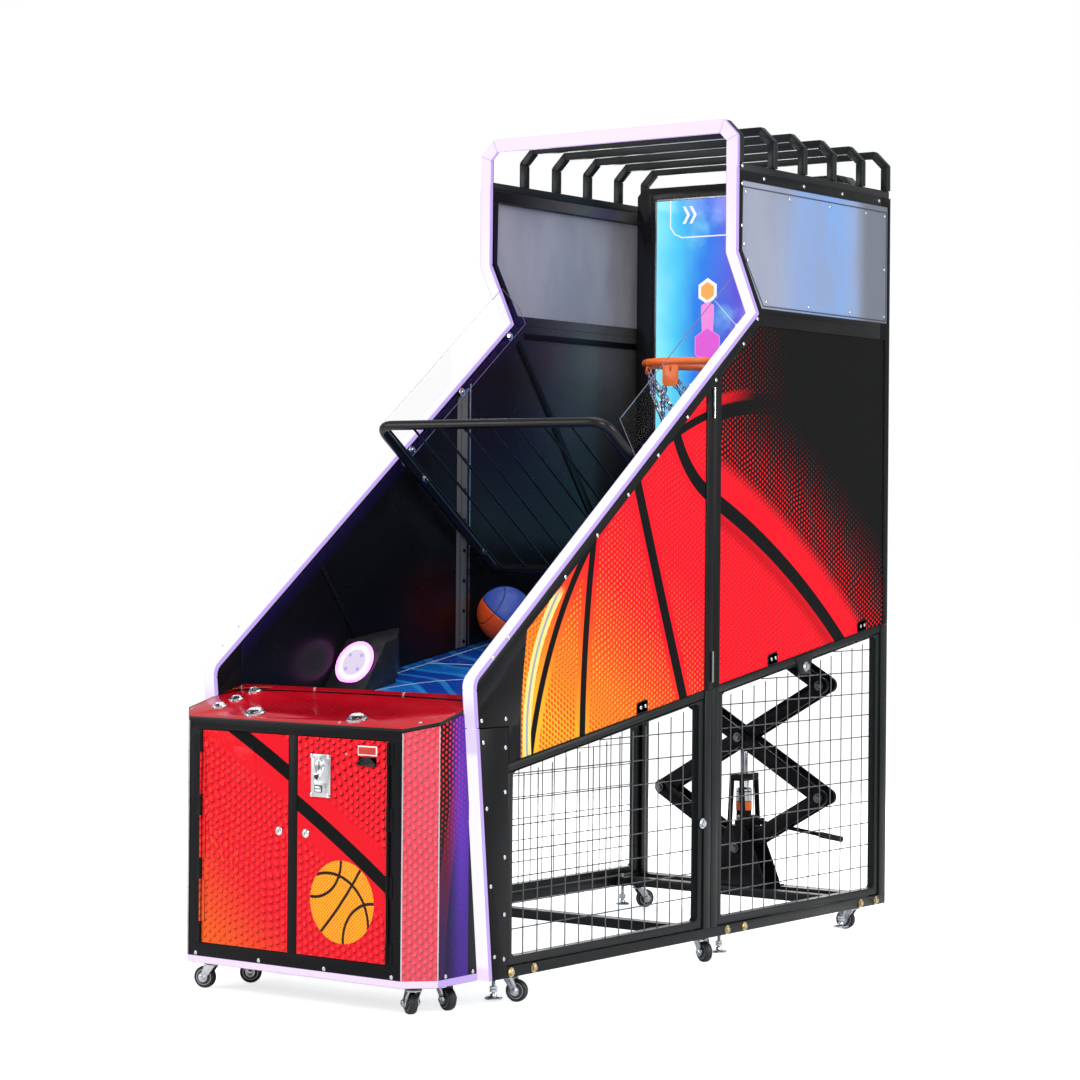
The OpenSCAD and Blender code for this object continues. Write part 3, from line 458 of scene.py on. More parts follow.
@dataclass(frozen=True)
class WallPrint:
    """Ball-skin print of the outer walls: yellow at the low front, red above, black at the rear."""

    name: str = "wall_print"
    pebble: float = 0.0165
    front_band: Arc = Arc((-0.257, 1.465), (-0.114, 1.098), (0.005, 0.80), 0.042)
    low_band: Arc = Arc((-0.476, 1.29), (-0.508, 1.05), (-0.523, 0.82), 0.028)
    main_band: Arc = Arc((-0.048, 1.605), (0.018, 1.512), (0.12, 1.44), 0.046)
    rear_band: Arc = Arc((0.12, 1.435), (0.56, 1.222), (0.915, 0.973), 0.050)
    top_band: Arc = Arc((-0.04, 1.62), (0.19, 1.695), (0.62, 1.715), 0.025)
    sweep: Arc = Arc((-0.79, 0.72), (-0.765, 0.93), (-0.66, 1.13), 0.010)

    def build(self) -> bpy.types.Material:
        """Returns the finish as a material."""
        g = Graph(self.name)
        y, z = g.y, g.z
        at_rear = g.step(y, 0.135, 0.137)
        at_front = g.sub(1.0, at_rear)
        rear_line = self.rear_band.signed(g, y, z)
        beyond = g.mul(g.step(rear_line, 0.085, 0.15), at_rear)
        near_band = g.step(rear_line, 0.14, 0.44, 1.0, 0.0)
        near_post = g.mul(g.step(y, 0.20, 0.62, 0.75, 0.0), g.step(z, 1.62, 1.98, 1.0, 0.45))
        lit = g.math("MAXIMUM", near_band, near_post)
        shrink = g.mul(beyond, g.step(lit, 0.1, 1.0, 1.1, 0.0))
        top, shade = pebbles(g, y, z, self.pebble, shrink)
        rise = g.add(g.mul(g.add(y, 0.85), 0.6),
                      g.mul(g.sub(z, 0.65), 0.9))
        ground = g.ramp(rise, [(0.0, YELLOW), (0.24, (0.80, 0.36, 0.02)), (0.42, ORANGE),
                               (0.60, (0.78, 0.045, 0.012)), (0.76, RED)])
        dots = g.ramp(rise, [(0.0, (0.78, 0.12, 0.012)), (0.30, (0.76, 0.05, 0.01)),
                             (0.46, (0.85, 0.30, 0.03)),
                             (0.78, (0.84, 0.10, 0.03)), (1.0, (0.78, 0.02, 0.03))])
        dots = g.mix(at_rear, dots, (0.78, 0.014, 0.024))
        ground = g.mix(beyond, ground, INK)
        dots = g.mix(beyond, dots, g.mix(lit, INK, (0.66, 0.006, 0.012)))
        smooth = self.clear_of_bands(g, rear_line, at_front, at_rear)
        keep = g.sub(1.0, smooth)
        art = g.mix(g.mul(g.mul(shade, keep), 0.7), ground, g.mix(beyond, DEEP_RED, INK))
        art = g.mix(g.mul(top, keep), art, dots)
        art = g.mix(g.mul(g.band(rear_line, 0.055, 0.038, 0.014), at_rear), art, RED)
        over = g.mul(g.band(self.top_band.signed(g, y, z), 0.030, 0.016, 0.008), at_rear)
        art = g.mix(g.mul(over, g.step(y, 0.16, 0.40, 0.9, 0.0)), art, (0.60, 0.004, 0.010))
        under = g.mul(g.band(rear_line, -0.045, 0.022, 0.022), at_rear)
        art = g.mix(g.mul(under, 0.6), art, DEEP_RED)
        for mask in self.bands(g, at_front, at_rear):
            art = g.mix(mask, art, INK)
        edge = g.step(y, LAYOUT.column_y + 0.055, LAYOUT.column_y + 0.068, 1.0, 0.0)
        art = g.mix(edge, art, (0.006, 0.008, 0.02))
        low = g.mul(g.step(y, -0.64, -0.60, 1.0, 0.0), g.step(z, 1.13, 1.17, 1.0, 0.0))
        art = g.mix(g.mul(self.sweep.mask(g, y, z, 0.014), low), art, (0.84, 0.62, 0.20))
        art = g.mix(g.mul(self.sweep.mask(g, y, z), low), art, (0.30, 0.31, 0.36))
        return printed(g, art, top)

    def bands(self, g: Graph, at_front: Socket, at_rear: Socket, extra: float = 0.0) -> list[Socket]:
        """Returns the masks of the black bands, each widened by extra."""
        y, z = g.y, g.z
        forward = g.step(y, -0.42, -0.40, 1.0, 0.0)
        return [
            self.front_band.mask(g, y, z, extra),
            g.mul(self.low_band.mask(g, y, z, extra), forward),
            g.mul(self.top_band.mask(g, y, z, extra), g.step(y, 0.30, 0.70, 1.0, 0.0)),
            g.mul(self.main_band.mask(g, y, z, extra), at_front),
            g.mul(self.rear_band.mask(g, y, z, extra), at_rear),
        ]

    def clear_of_bands(self, g: Graph, rear_line: Socket, at_front: Socket, at_rear: Socket) -> Socket:
        """Returns the mask of the plain margins that have no pebbles."""
        smooth = g.mul(g.band(rear_line, 0.03, 0.065, 0.012), at_rear)
        for mask in self.bands(g, at_front, at_rear, 0.020):
            smooth = g.math("MAXIMUM", smooth, mask)
        return smooth


@dataclass(frozen=True)
class DoorPrint:
    """Ball-skin print of the service doors, crossed by a black band."""

    name: str = "door_print"
    pebble: float = 0.0235
    left_band: Arc = Arc((-0.2025, 0.748), (-0.112, 0.699), (-0.0215, 0.6465), 0.038)
    right_band: Arc = Arc((0.0185, 0.5615), (0.180, 0.463), (0.3375, 0.358), 0.039)
    emblem: Point2 = (0.180, 0.300)
    emblem_r: float = 0.114

    def build(self) -> bpy.types.Material:
        """Returns the finish as a material."""
        g = Graph(self.name)
        x, z = g.x, g.z
        top, shade = pebbles(g, x, z, self.pebble)
        right = g.step(x, -0.001, 0.001)
        left = g.sub(1.0, right)
        line = g.add(g.mul(self.left_band.signed(g, x, z), left),
                      g.mul(self.right_band.signed(g, x, z), right))
        away = g.math("ABSOLUTE", line)
        keep = g.step(away, 0.055, 0.095)
        warm = g.step(g.add(g.mul(x, 0.9), z), -0.22, 0.22, 1.0, 0.0)
        speck = g.mul(g.step(x, -0.30, -0.06, 0.55, 0.0), g.step(z, 0.30, 0.62, 1.0, 0.35))
        warm = g.math("MAXIMUM", warm, g.mul(speck, g.step(g.noise(90.0, 2.0), 0.52, 0.66)))
        ground = g.mix(warm, (0.70, 0.008, 0.018), (0.80, 0.12, 0.012))
        dots = g.mix(warm, (0.82, 0.028, 0.040), (0.86, 0.11, 0.03))
        dark = g.step(g.add(x, z), 0.50, 0.95, 0.55, 1.0)
        art = g.mix(g.mul(g.mul(shade, keep), dark), ground, (0.12, 0.002, 0.004))
        art = g.mix(g.mul(g.mul(top, keep), 0.8), art, dots)
        art = g.mix(g.step(away, 0.0185, 0.0205, 1.0, 0.0), art, INK)
        art = self.ball_badge(g, art)
        return printed(g, art, g.mul(top, keep), 0.22, 0.08)

    def ball_badge(self, g: Graph, art: Socket) -> Socket:
        """Returns art with a plain halftone ball drawn on it."""
        x, z = g.x, g.z
        (cx, cz), r = self.emblem, self.emblem_r
        inside = g.step(g.from_point(x, z, self.emblem), r - 0.001, r + 0.001, 1.0, 0.0)
        grid = 2 * math.pi / 0.0076
        turned = g.mul(g.add(x, z), grid * 0.7071)
        crossed = g.mul(g.sub(x, z), grid * 0.7071)
        dots = g.step(g.add(g.math("COSINE", turned), g.math("COSINE", crossed)), 0.35, 0.75)
        face = g.mix(dots, (0.84, 0.38, 0.022), (0.76, 0.10, 0.012))
        lines = [
            Arc((cx - 0.075, cz - 0.087), (cx, cz + 0.0), (cx + 0.065, cz + 0.092), 0.0085),
            Arc((cx - 0.09, cz + 0.07), (cx + 0.02, cz + 0.06), (cx + 0.095, cz - 0.062), 0.0085),
            Arc((cx - 0.113, cz + 0.008), (cx - 0.035, cz + 0.035), (cx - 0.004, cz + 0.114), 0.0085),
            Arc((cx + 0.006, cz - 0.114), (cx + 0.045, cz - 0.02), (cx + 0.113, cz + 0.004), 0.0085),
        ]
        for line in lines:
            face = g.mix(line.mask(g, x, z), face, (0.02, 0.012, 0.01))
        return g.mix(inside, art, face)


@dataclass(frozen=True)
class CornerPrint:
    """Print of the cabinet's sides: pale pebbled corners, then black with red dots, under a painted violet glow of
    the light strips.
    """

    name: str = "corner_print"

    def build(self) -> bpy.types.Material:
        """Returns the finish as a material."""
        g = Graph(self.name)
        reach = g.math("ABSOLUTE", g.x)
        along = g.add(g.y, g.mul(reach, 0.9))
        top, shade = pebbles(g, along, g.z, 0.024)
        haze = g.step(g.noise(5.0, 3.0), 0.3, 0.7, 0.15, 0.5)
        corner = g.mix(haze, (0.66, 0.035, 0.055), (0.62, 0.11, 0.15))
        corner = g.mix(g.mul(shade, 0.85), corner, (0.20, 0.075, 0.095))
        corner = g.mix(g.mul(top, 0.8), corner, (0.74, 0.10, 0.14))
        side_top, _ = pebbles(g, g.y, g.z, 0.016)
        thin = g.step(g.z, 0.34, 0.78)
        side = g.mix(g.mul(side_top, thin), INK, (0.75, 0.012, 0.02))
        streak = Arc((-1.13, 0.20), (-1.10, 0.42), (-1.05, 0.62), 0.05).mask(g, g.y, g.z, 0.0)
        side = g.mix(g.mul(streak, 0.4), side, (0.25, 0.006, 0.03))
        # Painted light: the violet glow of the light strips on the flank, strongest at its rear end by the wall
        # strip.
        painted_strip_glow = g.step(g.y, -1.105, -1.035)
        side = g.mix(g.mul(painted_strip_glow, 0.8), side, (0.10, 0.030, 0.42))
        # Towards the bottom and the front the side darkens to a deep navy.
        deep = g.mul(g.step(g.z, 0.16, 0.55, 0.85, 0.0), g.step(g.y, -1.14, -1.04, 1.0, 0.6))
        side = g.mix(deep, side, (0.015, 0.012, 0.07))
        art = g.mix(g.step(g.y, -1.139, -1.138), corner, side)
        return printed(g, art, top, 0.25, 0.10)


@dataclass(frozen=True)
class DeckPrint:
    """Glossy red print of the control deck with dark pebbles and a black sweep at the rear."""

    name: str = "deck_print"

    def build(self) -> bpy.types.Material:
        """Returns the finish as a material."""
        g = Graph(self.name)
        top, shade = pebbles(g, g.x, g.y, 0.017)
        reach = g.math("ABSOLUTE", g.sub(g.x, 0.05))
        field = g.mul(g.step(reach, 0.18, 0.32, 1.0, 0.0), g.band(g.y, -1.09, 0.07, 0.04))
        art = g.mix(g.noise(4.0), (0.42, 0.002, 0.010), (0.52, 0.003, 0.013))
        art = g.mix(g.mul(shade, field), art, (0.05, 0.001, 0.003))
        sweep = Arc((-0.44, -0.965), (0.0, -0.948), (0.45, -0.960), 0.013)
        art = g.mix(sweep.mask(g, g.x, g.y), art, INK)
        tail = g.step(g.x, -0.34, -0.32, 1.0, 0.0)
        hook = Arc((-0.47, -1.10), (-0.455, -1.02), (-0.40, -0.96), 0.016)
        art = g.mix(g.mul(hook.mask(g, g.x, g.y), tail), art, INK)
        flare = Arc((-0.44, -0.955), (-0.38, -0.938), (-0.30, -0.930), 0.007)
        art = g.mix(g.mul(flare.mask(g, g.x, g.y), tail), art, (0.75, 0.17, 0.012))
        return printed(g, art, top, 0.15, 0.26)


@dataclass(frozen=True)
class RampPrint:
    """Blue court print of the ball ramp, with pale sweeps and a white outline."""

    name: str = "ramp_print"

    def build(self) -> bpy.types.Material:
        """Returns the finish as a material."""
        g = Graph(self.name)
        x, y = g.x, g.y
        slant = g.add(g.mul(x, 0.75), y)
        wave = g.add(slant, g.mul(g.noise(1.6, 1.0), 0.35))
        broad = g.step(g.math("SINE", g.mul(wave, 21.0)), 0.10, 0.30)
        fine = g.step(g.math("SINE", g.mul(wave, 64.0)), 0.62, 0.80)
        art = g.mix(broad, (0.006, 0.065, 0.45), (0.008, 0.17, 0.66))
        art = g.mix(g.mul(fine, 0.7), art, (0.03, 0.33, 0.80))
        art = g.mix(g.step(y, -0.30, 0.70), art, (0.008, 0.05, 0.32))
        edge = g.band(g.math("ABSOLUTE", x), 0.405, 0.004)
        arc = Arc((-0.30, -0.55), (0.0, -0.28), (0.30, -0.55), 0.008).mask(g, x, y)
        cross = g.mul(g.band(y, -0.10, 0.004), g.step(g.math("ABSOLUTE", x), 0.404, 0.406, 1.0, 0.0))
        lines = g.math("MAXIMUM", g.math("MAXIMUM", edge, arc), cross)
        art = g.mix(lines, art, (0.72, 0.84, 0.95))
        return printed(g, art, g.noise(300.0), 0.25)


@dataclass(frozen=True)
class LinerPrint(Finish):
    """Dark sheet of the inner walls: near black, with a faint red pebble patch, a painted grey sheen and a painted
    violet glow of the light strips.
    """

    name: str = "liner_print"

    def draw(self, g: Graph) -> None:
        """Draws the finish."""
        patch = g.step(g.from_point(g.y, g.z, (-0.02, 1.06)), 0.02, 0.22, 1.0, 0.0)
        art = g.mix(g.noise(3.0, 3.0), (0.0035, 0.0035, 0.0042), (0.0065, 0.0065, 0.0075))
        # Painted highlight: a soft grey sheen over the upper rear of the wall.
        painted_sheen = g.mul(g.step(g.y, 0.30, 0.95), g.step(g.z, 1.35, 1.95))
        art = g.mix(g.mul(painted_sheen, g.noise(2.2, 2.0)), art, (0.15, 0.145, 0.14))
        art = g.mix(g.mul(patch, 0.6), art, (0.035, 0.004, 0.003))
        # Painted light: the violet glow of the light strips, along the sloped top edge and the front edge of the
        # wall.
        rise = (LAYOUT.corner_z - LAYOUT.knee_z) / (LAYOUT.corner_y - LAYOUT.knee_y)
        line = g.sub(g.mul(g.sub(g.y, LAYOUT.knee_y), rise),
                      g.sub(g.z, LAYOUT.knee_z))
        below = g.math("DIVIDE", line, math.hypot(1.0, rise))
        front = g.sub(g.y, LAYOUT.knee_y)
        near = g.math("MINIMUM", g.math("ABSOLUTE", below), g.math("ABSOLUTE", front))
        painted_strip_glow = g.step(near, 0.016, 0.075, 1.0, 0.0)
        art = g.mix(g.mul(painted_strip_glow, 0.35), art, (0.02, 0.008, 0.12))
        g.set(Base_Color=art, Roughness=g.step(g.noise(6.0, 3.0), 0.3, 0.7, 0.20, 0.30))
        g.shader.inputs["Specular IOR Level"].default_value = 0.13
        g.bump(g.noise(140.0, 1.0), 0.05, 0.0005)


@dataclass(frozen=True)
class BallSkin(Finish):
    """Pebbled rubber of the ball: blue and orange panels."""

    name: str = "ball_skin"
    centre: tuple[float, float, float] = (0.0, 0.0, 0.0)
    split: tuple[float, float, float] = (0.0, 0.0, 1.0)

    def draw(self, g: Graph) -> None:
        """Draws the finish."""
        total: Value = 0.0
        for axis, middle, part in zip((g.x, g.y, g.z), self.centre, self.split):
            total = g.add(g.mul(g.sub(axis, middle), part), total)
        upper = g.step(total, -0.0008, 0.0008)
        worn = g.noise(40.0, 4.0)
        orange = g.mix(worn, (0.88, 0.10, 0.012), (0.72, 0.07, 0.008))
        blue = g.mix(worn, (0.055, 0.11, 0.50), (0.035, 0.075, 0.38))
        g.set(Base_Color=g.mix(upper, orange, blue), Roughness=0.46)
        node = g.tree.nodes.new("ShaderNodeTexVoronoi")
        g.tree.links.new(g.place, node.inputs["Vector"])
        node.inputs["Scale"].default_value = 420.0
        g.bump(g.step(node.outputs["Distance"], 0.2, 0.6, 1.0, 0.0), 0.5, 0.0006)


@dataclass(frozen=True)
class ScreenPicture(Finish):
    """The lit picture: cyan at the left, blue in the middle and magenta at the top right."""

    name: str = "screen_picture"
    low: float = 1.262
    high: float = 2.472
    half: float = 0.34

    def draw(self, g: Graph) -> None:
        """Draws the finish."""
        across = g.math("DIVIDE", g.add(g.x, self.half), 2 * self.half)
        up = g.math("DIVIDE", g.sub(g.z, self.low), self.high - self.low)
        wobble = g.mul(g.sub(g.noise(3.2, 3.0), 0.5), 0.35)
        place = g.add(across, wobble)
        stops = [(0.0, (0.26, 0.86, 0.98)), (0.14, (0.08, 0.62, 0.96)), (0.30, (0.02, 0.22, 0.86)),
                 (0.55, (0.08, 0.08, 0.72)), (0.78, (0.30, 0.10, 0.80)), (1.0, (0.20, 0.45, 0.95))]
        art = g.ramp(place, stops)
        corner = g.mul(g.step(up, 0.55, 1.05), g.step(across, 0.25, 1.0))
        art = g.mix(corner, art, (0.62, 0.10, 0.80))
        cloud = g.step(g.noise(5.0, 5.0), 0.52, 0.74)
        art = g.mix(g.mul(cloud, 0.75), art, (0.30, 0.78, 0.98))
        bottom = g.step(up, 0.06, 0.34, 1.0, 0.0)
        art = g.mix(g.mul(bottom, 0.6), art, (0.40, 0.86, 0.98))
        rays = [((0.0, 2.33), (0.34, 1.98)), ((-0.10, 2.12), (0.30, 1.72)), ((-0.16, 1.62), (0.25, 2.02)),
                ((0.05, 1.60), (0.34, 1.95))]
        for (ax, az), (bx, bz) in rays:
            run, rise = bx - ax, bz - az
            length = math.hypot(run, rise)
            off = g.add(g.mul(g.sub(g.x, ax), -rise / length),
                         g.mul(g.sub(g.z, az), run / length))
            span = g.add(g.mul(g.sub(g.x, ax), run / length),
                          g.mul(g.sub(g.z, az), rise / length))
            ray = g.mul(g.band(off, 0.0, 0.0012, 0.0012), g.band(span, length / 2, length / 2, 0.06))
            art = g.mix(g.mul(ray, 0.8), art, (0.85, 0.93, 1.0))
        g.set(Base_Color=(0.01, 0.01, 0.012), Roughness=0.12, Emission_Color=art)
        g.shader.inputs["Emission Strength"].default_value = 1.0


@dataclass(frozen=True)
class Frosted(Finish):
    """Frosted window sheet: milky lavender with soft vertical streaks."""

    name: str = "frosted_window"

    def draw(self, g: Graph) -> None:
        """Draws the finish."""
        streak = g.noise(1.0, 3.0, g.flat(g.mul(g.y, 6.0), g.mul(g.z, 2.2)))
        grain = g.noise(60.0, 4.0)
        art = g.mix(g.step(streak, 0.35, 0.7), (0.27, 0.27, 0.31), (0.35, 0.345, 0.38))
        art = g.mix(g.mul(grain, 0.2), art, (0.22, 0.24, 0.33))
        right = g.step(g.x, 0.0, 0.1)
        blue = g.mul(g.mul(g.band(g.y, 0.80, 0.20, 0.16), right), g.step(streak, 0.3, 0.62, 0.35, 1.0))
        art = g.mix(g.mul(right, 0.5), art, (0.15, 0.19, 0.30))
        art = g.mix(g.mul(blue, 0.7), art, (0.11, 0.27, 0.60))
        art = g.mix(g.mul(g.step(g.y, 0.98, 1.08), right), art, (0.115, 0.13, 0.16))
        # Painted light: the sheet glows faintly by its own emission, though it is no lamp.
        g.set(Base_Color=art, Roughness=0.36, Emission_Color=art)
        g.shader.inputs["Emission Strength"].default_value = 0.12
        g.shader.inputs["Specular IOR Level"].default_value = 0.35
        g.bump(grain, 0.1, 0.0004)


@dataclass(frozen=True)
class StripFace(Finish):
    """Face of the light strips: cool white, turning lilac at the deck and pink along the top."""

    name: str = "strip_light"

    def draw(self, g: Graph) -> None:
        """Draws the finish."""
        art = g.mix(g.noise(30.0, 3.0), (0.97, 0.955, 1.0), (0.95, 0.93, 0.99))
        art = g.mix(g.step(g.z, 2.05, 2.45), art, (0.95, 0.80, 0.96))
        at_deck = g.mul(g.step(g.z, 0.80, 0.90, 0.7, 0.0), g.step(g.z, 0.70, 0.72))
        art = g.mix(at_deck, art, (0.72, 0.56, 0.95))
        at_foot = g.mul(g.step(g.z, 0.11, 0.13, 1.0, 0.0), g.step(g.y, -0.93, -0.92, 1.0, 0.0))
        art = g.mix(at_foot, art, (0.90, 0.74, 0.96))
        g.set(Base_Color=(0.03, 0.03, 0.035), Roughness=0.35, Emission_Color=art)
        g.shader.inputs["Specular IOR Level"].default_value = 0.2
        g.shader.inputs["Emission Strength"].default_value = 1.0




# ---------------------------------------------------------------- workshop


def clear_selection() -> None:
    """Deselects every object, and leaves no object active."""
    bpy.ops.object.select_all(action="DESELECT")


def make_active(piece: Piece) -> None:
    """Selects piece alone and makes it the active object."""
    clear_selection()
    piece.select_set(True)
    bpy.context.view_layer.objects.active = piece


def face_outward() -> None:
    """Turns every face of the mesh that is being edited outward."""
    bpy.ops.mesh.select_all(action="SELECT")
    bpy.ops.mesh.normals_make_consistent(inside=False)


@contextlib.contextmanager
def editing(piece: Piece) -> Iterator[None]:
    """Opens piece in edit mode with nothing selected, and closes it at the end."""
    make_active(piece)
    bpy.ops.object.mode_set(mode="EDIT")
    bpy.ops.mesh.select_all(action="DESELECT")
    yield
    bpy.ops.object.mode_set(mode="OBJECT")


def pick_faces(piece: Piece, wanted: Callable[[bmesh.types.BMFace], bool]) -> None:
    """Selects the faces of piece, which is in edit mode, that wanted accepts."""
    mesh = bmesh.from_edit_mesh(piece.data)
    bpy.ops.mesh.select_mode(type="FACE")
    for face in mesh.faces:
        face.select_set(wanted(face))
    bmesh.update_edit_mesh(piece.data)


def place_applied(piece: Piece, name: str) -> Piece:
    """Names piece and moves its place, turn and scale into its mesh."""
    make_active(piece)
    bpy.ops.object.transform_apply(location=True, rotation=True, scale=True)
    piece.name = name
    piece.data.name = name
    return piece


def eased(piece: Piece, width: float, segments: int = 2, angle: float = 35.0) -> Piece:
    """Rounds the edges of piece that are sharper than angle, and shades it smooth.

    Args:
        piece: The mesh to round.
        width: Width of the rounding in metres.
        segments: Steps across the rounding.
        angle: Smallest edge angle that is rounded, in degrees.

    Returns:
        The same piece.
    """
    make_active(piece)
    if width:
        bevel = piece.modifiers.new("eased", "BEVEL")
        bevel.width = width
        bevel.segments = segments
        bevel.limit_method = "ANGLE"
        bevel.angle_limit = math.radians(angle)
        bevel.harden_normals = False
        bpy.ops.object.modifier_apply(modifier=bevel.name)
    bpy.ops.object.shade_smooth_by_angle(angle=math.radians(38))
    return piece


def block(name: str, low: Sequence[float], high: Sequence[float], edge: float = 0.001) -> Piece:
    """Models a rounded block between two corners."""
    low, high = Vector(low), Vector(high)
    clear_selection()
    bpy.ops.mesh.primitive_cube_add(size=1.0, location=(low + high) / 2, scale=high - low)
    return eased(place_applied(bpy.context.object, name), edge)


def outline(name: str, points: Sequence[Point2], plane: str, low: float, high: float) -> Piece:
    """Models a closed plate by extruding an outline.

    Args:
        name: The piece's name.
        points: Corners of the outline in the two axes of the plane, in its order.
        plane: The plane's axes, such as "yz".
        low: Lowest place along the third axis.
        high: Highest place along the third axis.

    Returns:
        The plate.
    """
    first, second = ("xyz".index(c) for c in plane)
    third = 3 - first - second
    clear_selection()
    bpy.ops.mesh.primitive_circle_add(vertices=len(points), radius=1.0, fill_type="NGON")
    piece = place_applied(bpy.context.object, name)
    for vertex, (across, along) in zip(piece.data.vertices, points):
        vertex.co[first], vertex.co[second], vertex.co[third] = across, along, low
    lift = [0.0, 0.0, 0.0]
    lift[third] = high - low
    with editing(piece):
        bpy.ops.mesh.select_all(action="SELECT")
        bpy.ops.mesh.extrude_region_move(TRANSFORM_OT_translate={"value": lift})
        face_outward()
    return piece


def turned(name: str, profile: Sequence[Point2], centre: Sequence[float], axis: Sequence[float],
           steps: int = 32) -> Piece:
    """Models a round piece by spinning a closed profile.

    Args:
        name: The piece's name.
        profile: Closed loop of (radius, height along the axis). Points on the axis have radius 0.
        centre: Where the profile's zero height is.
        axis: Direction of the turning axis.
        steps: Facets round the piece.

    Returns:
        The turned piece.
    """
    clear_selection()
    bpy.ops.mesh.primitive_circle_add(vertices=len(profile), radius=1.0, fill_type="NOTHING")
    piece = place_applied(bpy.context.object, name)
    for vertex, (radius, height) in zip(piece.data.vertices, profile):
        vertex.co = (radius, 0.0, height)
    with editing(piece):
        bpy.ops.mesh.select_all(action="SELECT")
        bpy.ops.mesh.spin(steps=steps, angle=2 * math.pi, center=(0, 0, 0), axis=(0, 0, 1))
        bpy.ops.mesh.select_all(action="SELECT")
        bpy.ops.mesh.remove_doubles(threshold=1e-6)
        bpy.ops.mesh.dissolve_degenerate(threshold=1e-7)
        bpy.ops.mesh.delete_loose(use_verts=True, use_edges=True, use_faces=False)
        face_outward()
    turn = Vector((0, 0, 1)).rotation_difference(Vector(axis)).to_matrix().to_4x4()
    piece.data.transform(Matrix.Translation(Vector(centre)) @ turn)
    return eased(piece, 0.0)


def tube(name: str, points: Sequence[Sequence[float]], radius: float, closed: bool = False,
         sides: int = 3) -> Piece:
    """Models a round bar along points with smooth bends.

    Args:
        name: The piece's name.
        points: The middle line.
        radius: Radius of the bar.
        closed: Whether the bar joins its own start.
        sides: Curve resolution of the section: the bar has 2 * sides + 4 sides.

    Returns:
        The bar as a mesh.
    """
    data = bpy.data.curves.new(name, "CURVE")
    data.dimensions = "3D"
    data.bevel_depth = radius
    data.bevel_resolution = sides
    data.use_fill_caps = True
    spline = data.splines.new("POLY")
    spline.points.add(len(points) - 1)
    for knot, point in zip(spline.points, points):
        knot.co = (*point, 1.0)
    spline.use_cyclic_u = closed
    piece = bpy.data.objects.new(name, data)
    bpy.context.scene.collection.objects.link(piece)
    make_active(piece)
    bpy.ops.object.convert(target="MESH")
    return eased(bpy.context.object, 0.0)


def merged(name: str, parts: Sequence[Piece]) -> Piece:
    """Joins parts into one piece."""
    clear_selection()
    for part in parts:
        part.select_set(True)
    bpy.context.view_layer.objects.active = parts[0]
    if len(parts) > 1:
        bpy.ops.object.join()
    parts[0].name = name
    parts[0].data.name = name
    return parts[0]


def copies(name: str, master: Piece, places: Sequence[Matrix]) -> Piece:
    """Repeats master at each place as one piece, and removes master.

    Args:
        name: The new piece's name.
        master: A small mesh modelled round the origin.
        places: Where each copy goes.

    Returns:
        The repeated piece.
    """
    whole = bmesh.new()
    for place in places:
        copy = master.data.copy()
        copy.transform(place)
        whole.from_mesh(copy)
        bpy.data.meshes.remove(copy)
    mesh = bpy.data.meshes.new(name)
    whole.to_mesh(mesh)
    whole.free()
    for material in master.data.materials:
        mesh.materials.append(material)
    bpy.data.objects.remove(master)
    piece = bpy.data.objects.new(name, mesh)
    bpy.context.scene.collection.objects.link(piece)
    return piece


def facing(point: Sequence[float], direction: Sequence[float], roll: float = 0.0) -> Matrix:
    """Returns the place of a copy whose own +Z points along direction."""
    turn = Vector((0, 0, 1)).rotation_difference(Vector(direction)).to_matrix().to_4x4()
    return Matrix.Translation(Vector(point)) @ turn @ Matrix.Rotation(roll, 4, "Z")


def rods(name: str, ends: Sequence[tuple[Sequence[float], Sequence[float]]], radius: float,
         sides: int = 8) -> Piece:
    """Models straight round rods between pairs of ends, as one piece."""
    clear_selection()
    bpy.ops.mesh.primitive_cylinder_add(vertices=sides, radius=radius, depth=1.0, location=(0, 0, 0.5))
    master = eased(place_applied(bpy.context.object, name + "_rod"), 0.0)
    places = []
    for start, end in ends:
        run = Vector(end) - Vector(start)
        places.append(facing(start, run) @ Matrix.Diagonal((1, 1, run.length, 1)))
    return copies(name, master, places)


def refined(node: str, edge: float, segments: int = 2) -> Piece:
    """Copies a CAD node, merges its triangles into faces and rounds its edges.

    Args:
        node: The CAD node.
        edge: Width of the rounding in metres, or 0 to leave the edges.
        segments: Steps across the rounding.

    Returns:
        The rounded copy.
    """
    mesh = frame["nodes"][node].data.copy()
    mesh.materials.clear()
    piece = bpy.data.objects.new(node + "_skin", mesh)
    bpy.context.scene.collection.objects.link(piece)
    with editing(piece):
        bpy.ops.mesh.select_all(action="SELECT")
        bpy.ops.mesh.remove_doubles(threshold=2e-5)
        bpy.ops.mesh.customdata_custom_splitnormals_clear()
        bpy.ops.mesh.dissolve_limited(angle_limit=math.radians(0.6))
    return eased(piece, edge, segments)


def dress(piece: Piece, finish: bpy.types.Material, node: str, replaces: bool = False) -> Piece:
    """Gives piece its finish and makes it move with a CAD node.

    Args:
        piece: The finished mesh.
        finish: Its material.
        node: The CAD node whose body it shares.
        replaces: Whether it stands for that node.

    Returns:
        The same piece.
    """
    if not piece.data.materials:
        piece.data.materials.append(finish)
    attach(piece, BODY_OF[node])
    if replaces:
        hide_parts(node)
    LOG.info("%s: %d faces on %s", piece.name, len(piece.data.polygons), BODY_OF[node])
    return piece


def split_finish(piece: Piece, first: bpy.types.Material, second: bpy.types.Material,
                 uses_second: Callable[[bpy.types.MeshPolygon], bool]) -> Piece:
    """Gives piece two finishes, with the second on the faces that uses_second accepts."""
    piece.data.materials.clear()
    piece.data.materials.append(first)
    piece.data.materials.append(second)
    for face in piece.data.polygons:
        face.material_index = int(uses_second(face))
    return piece


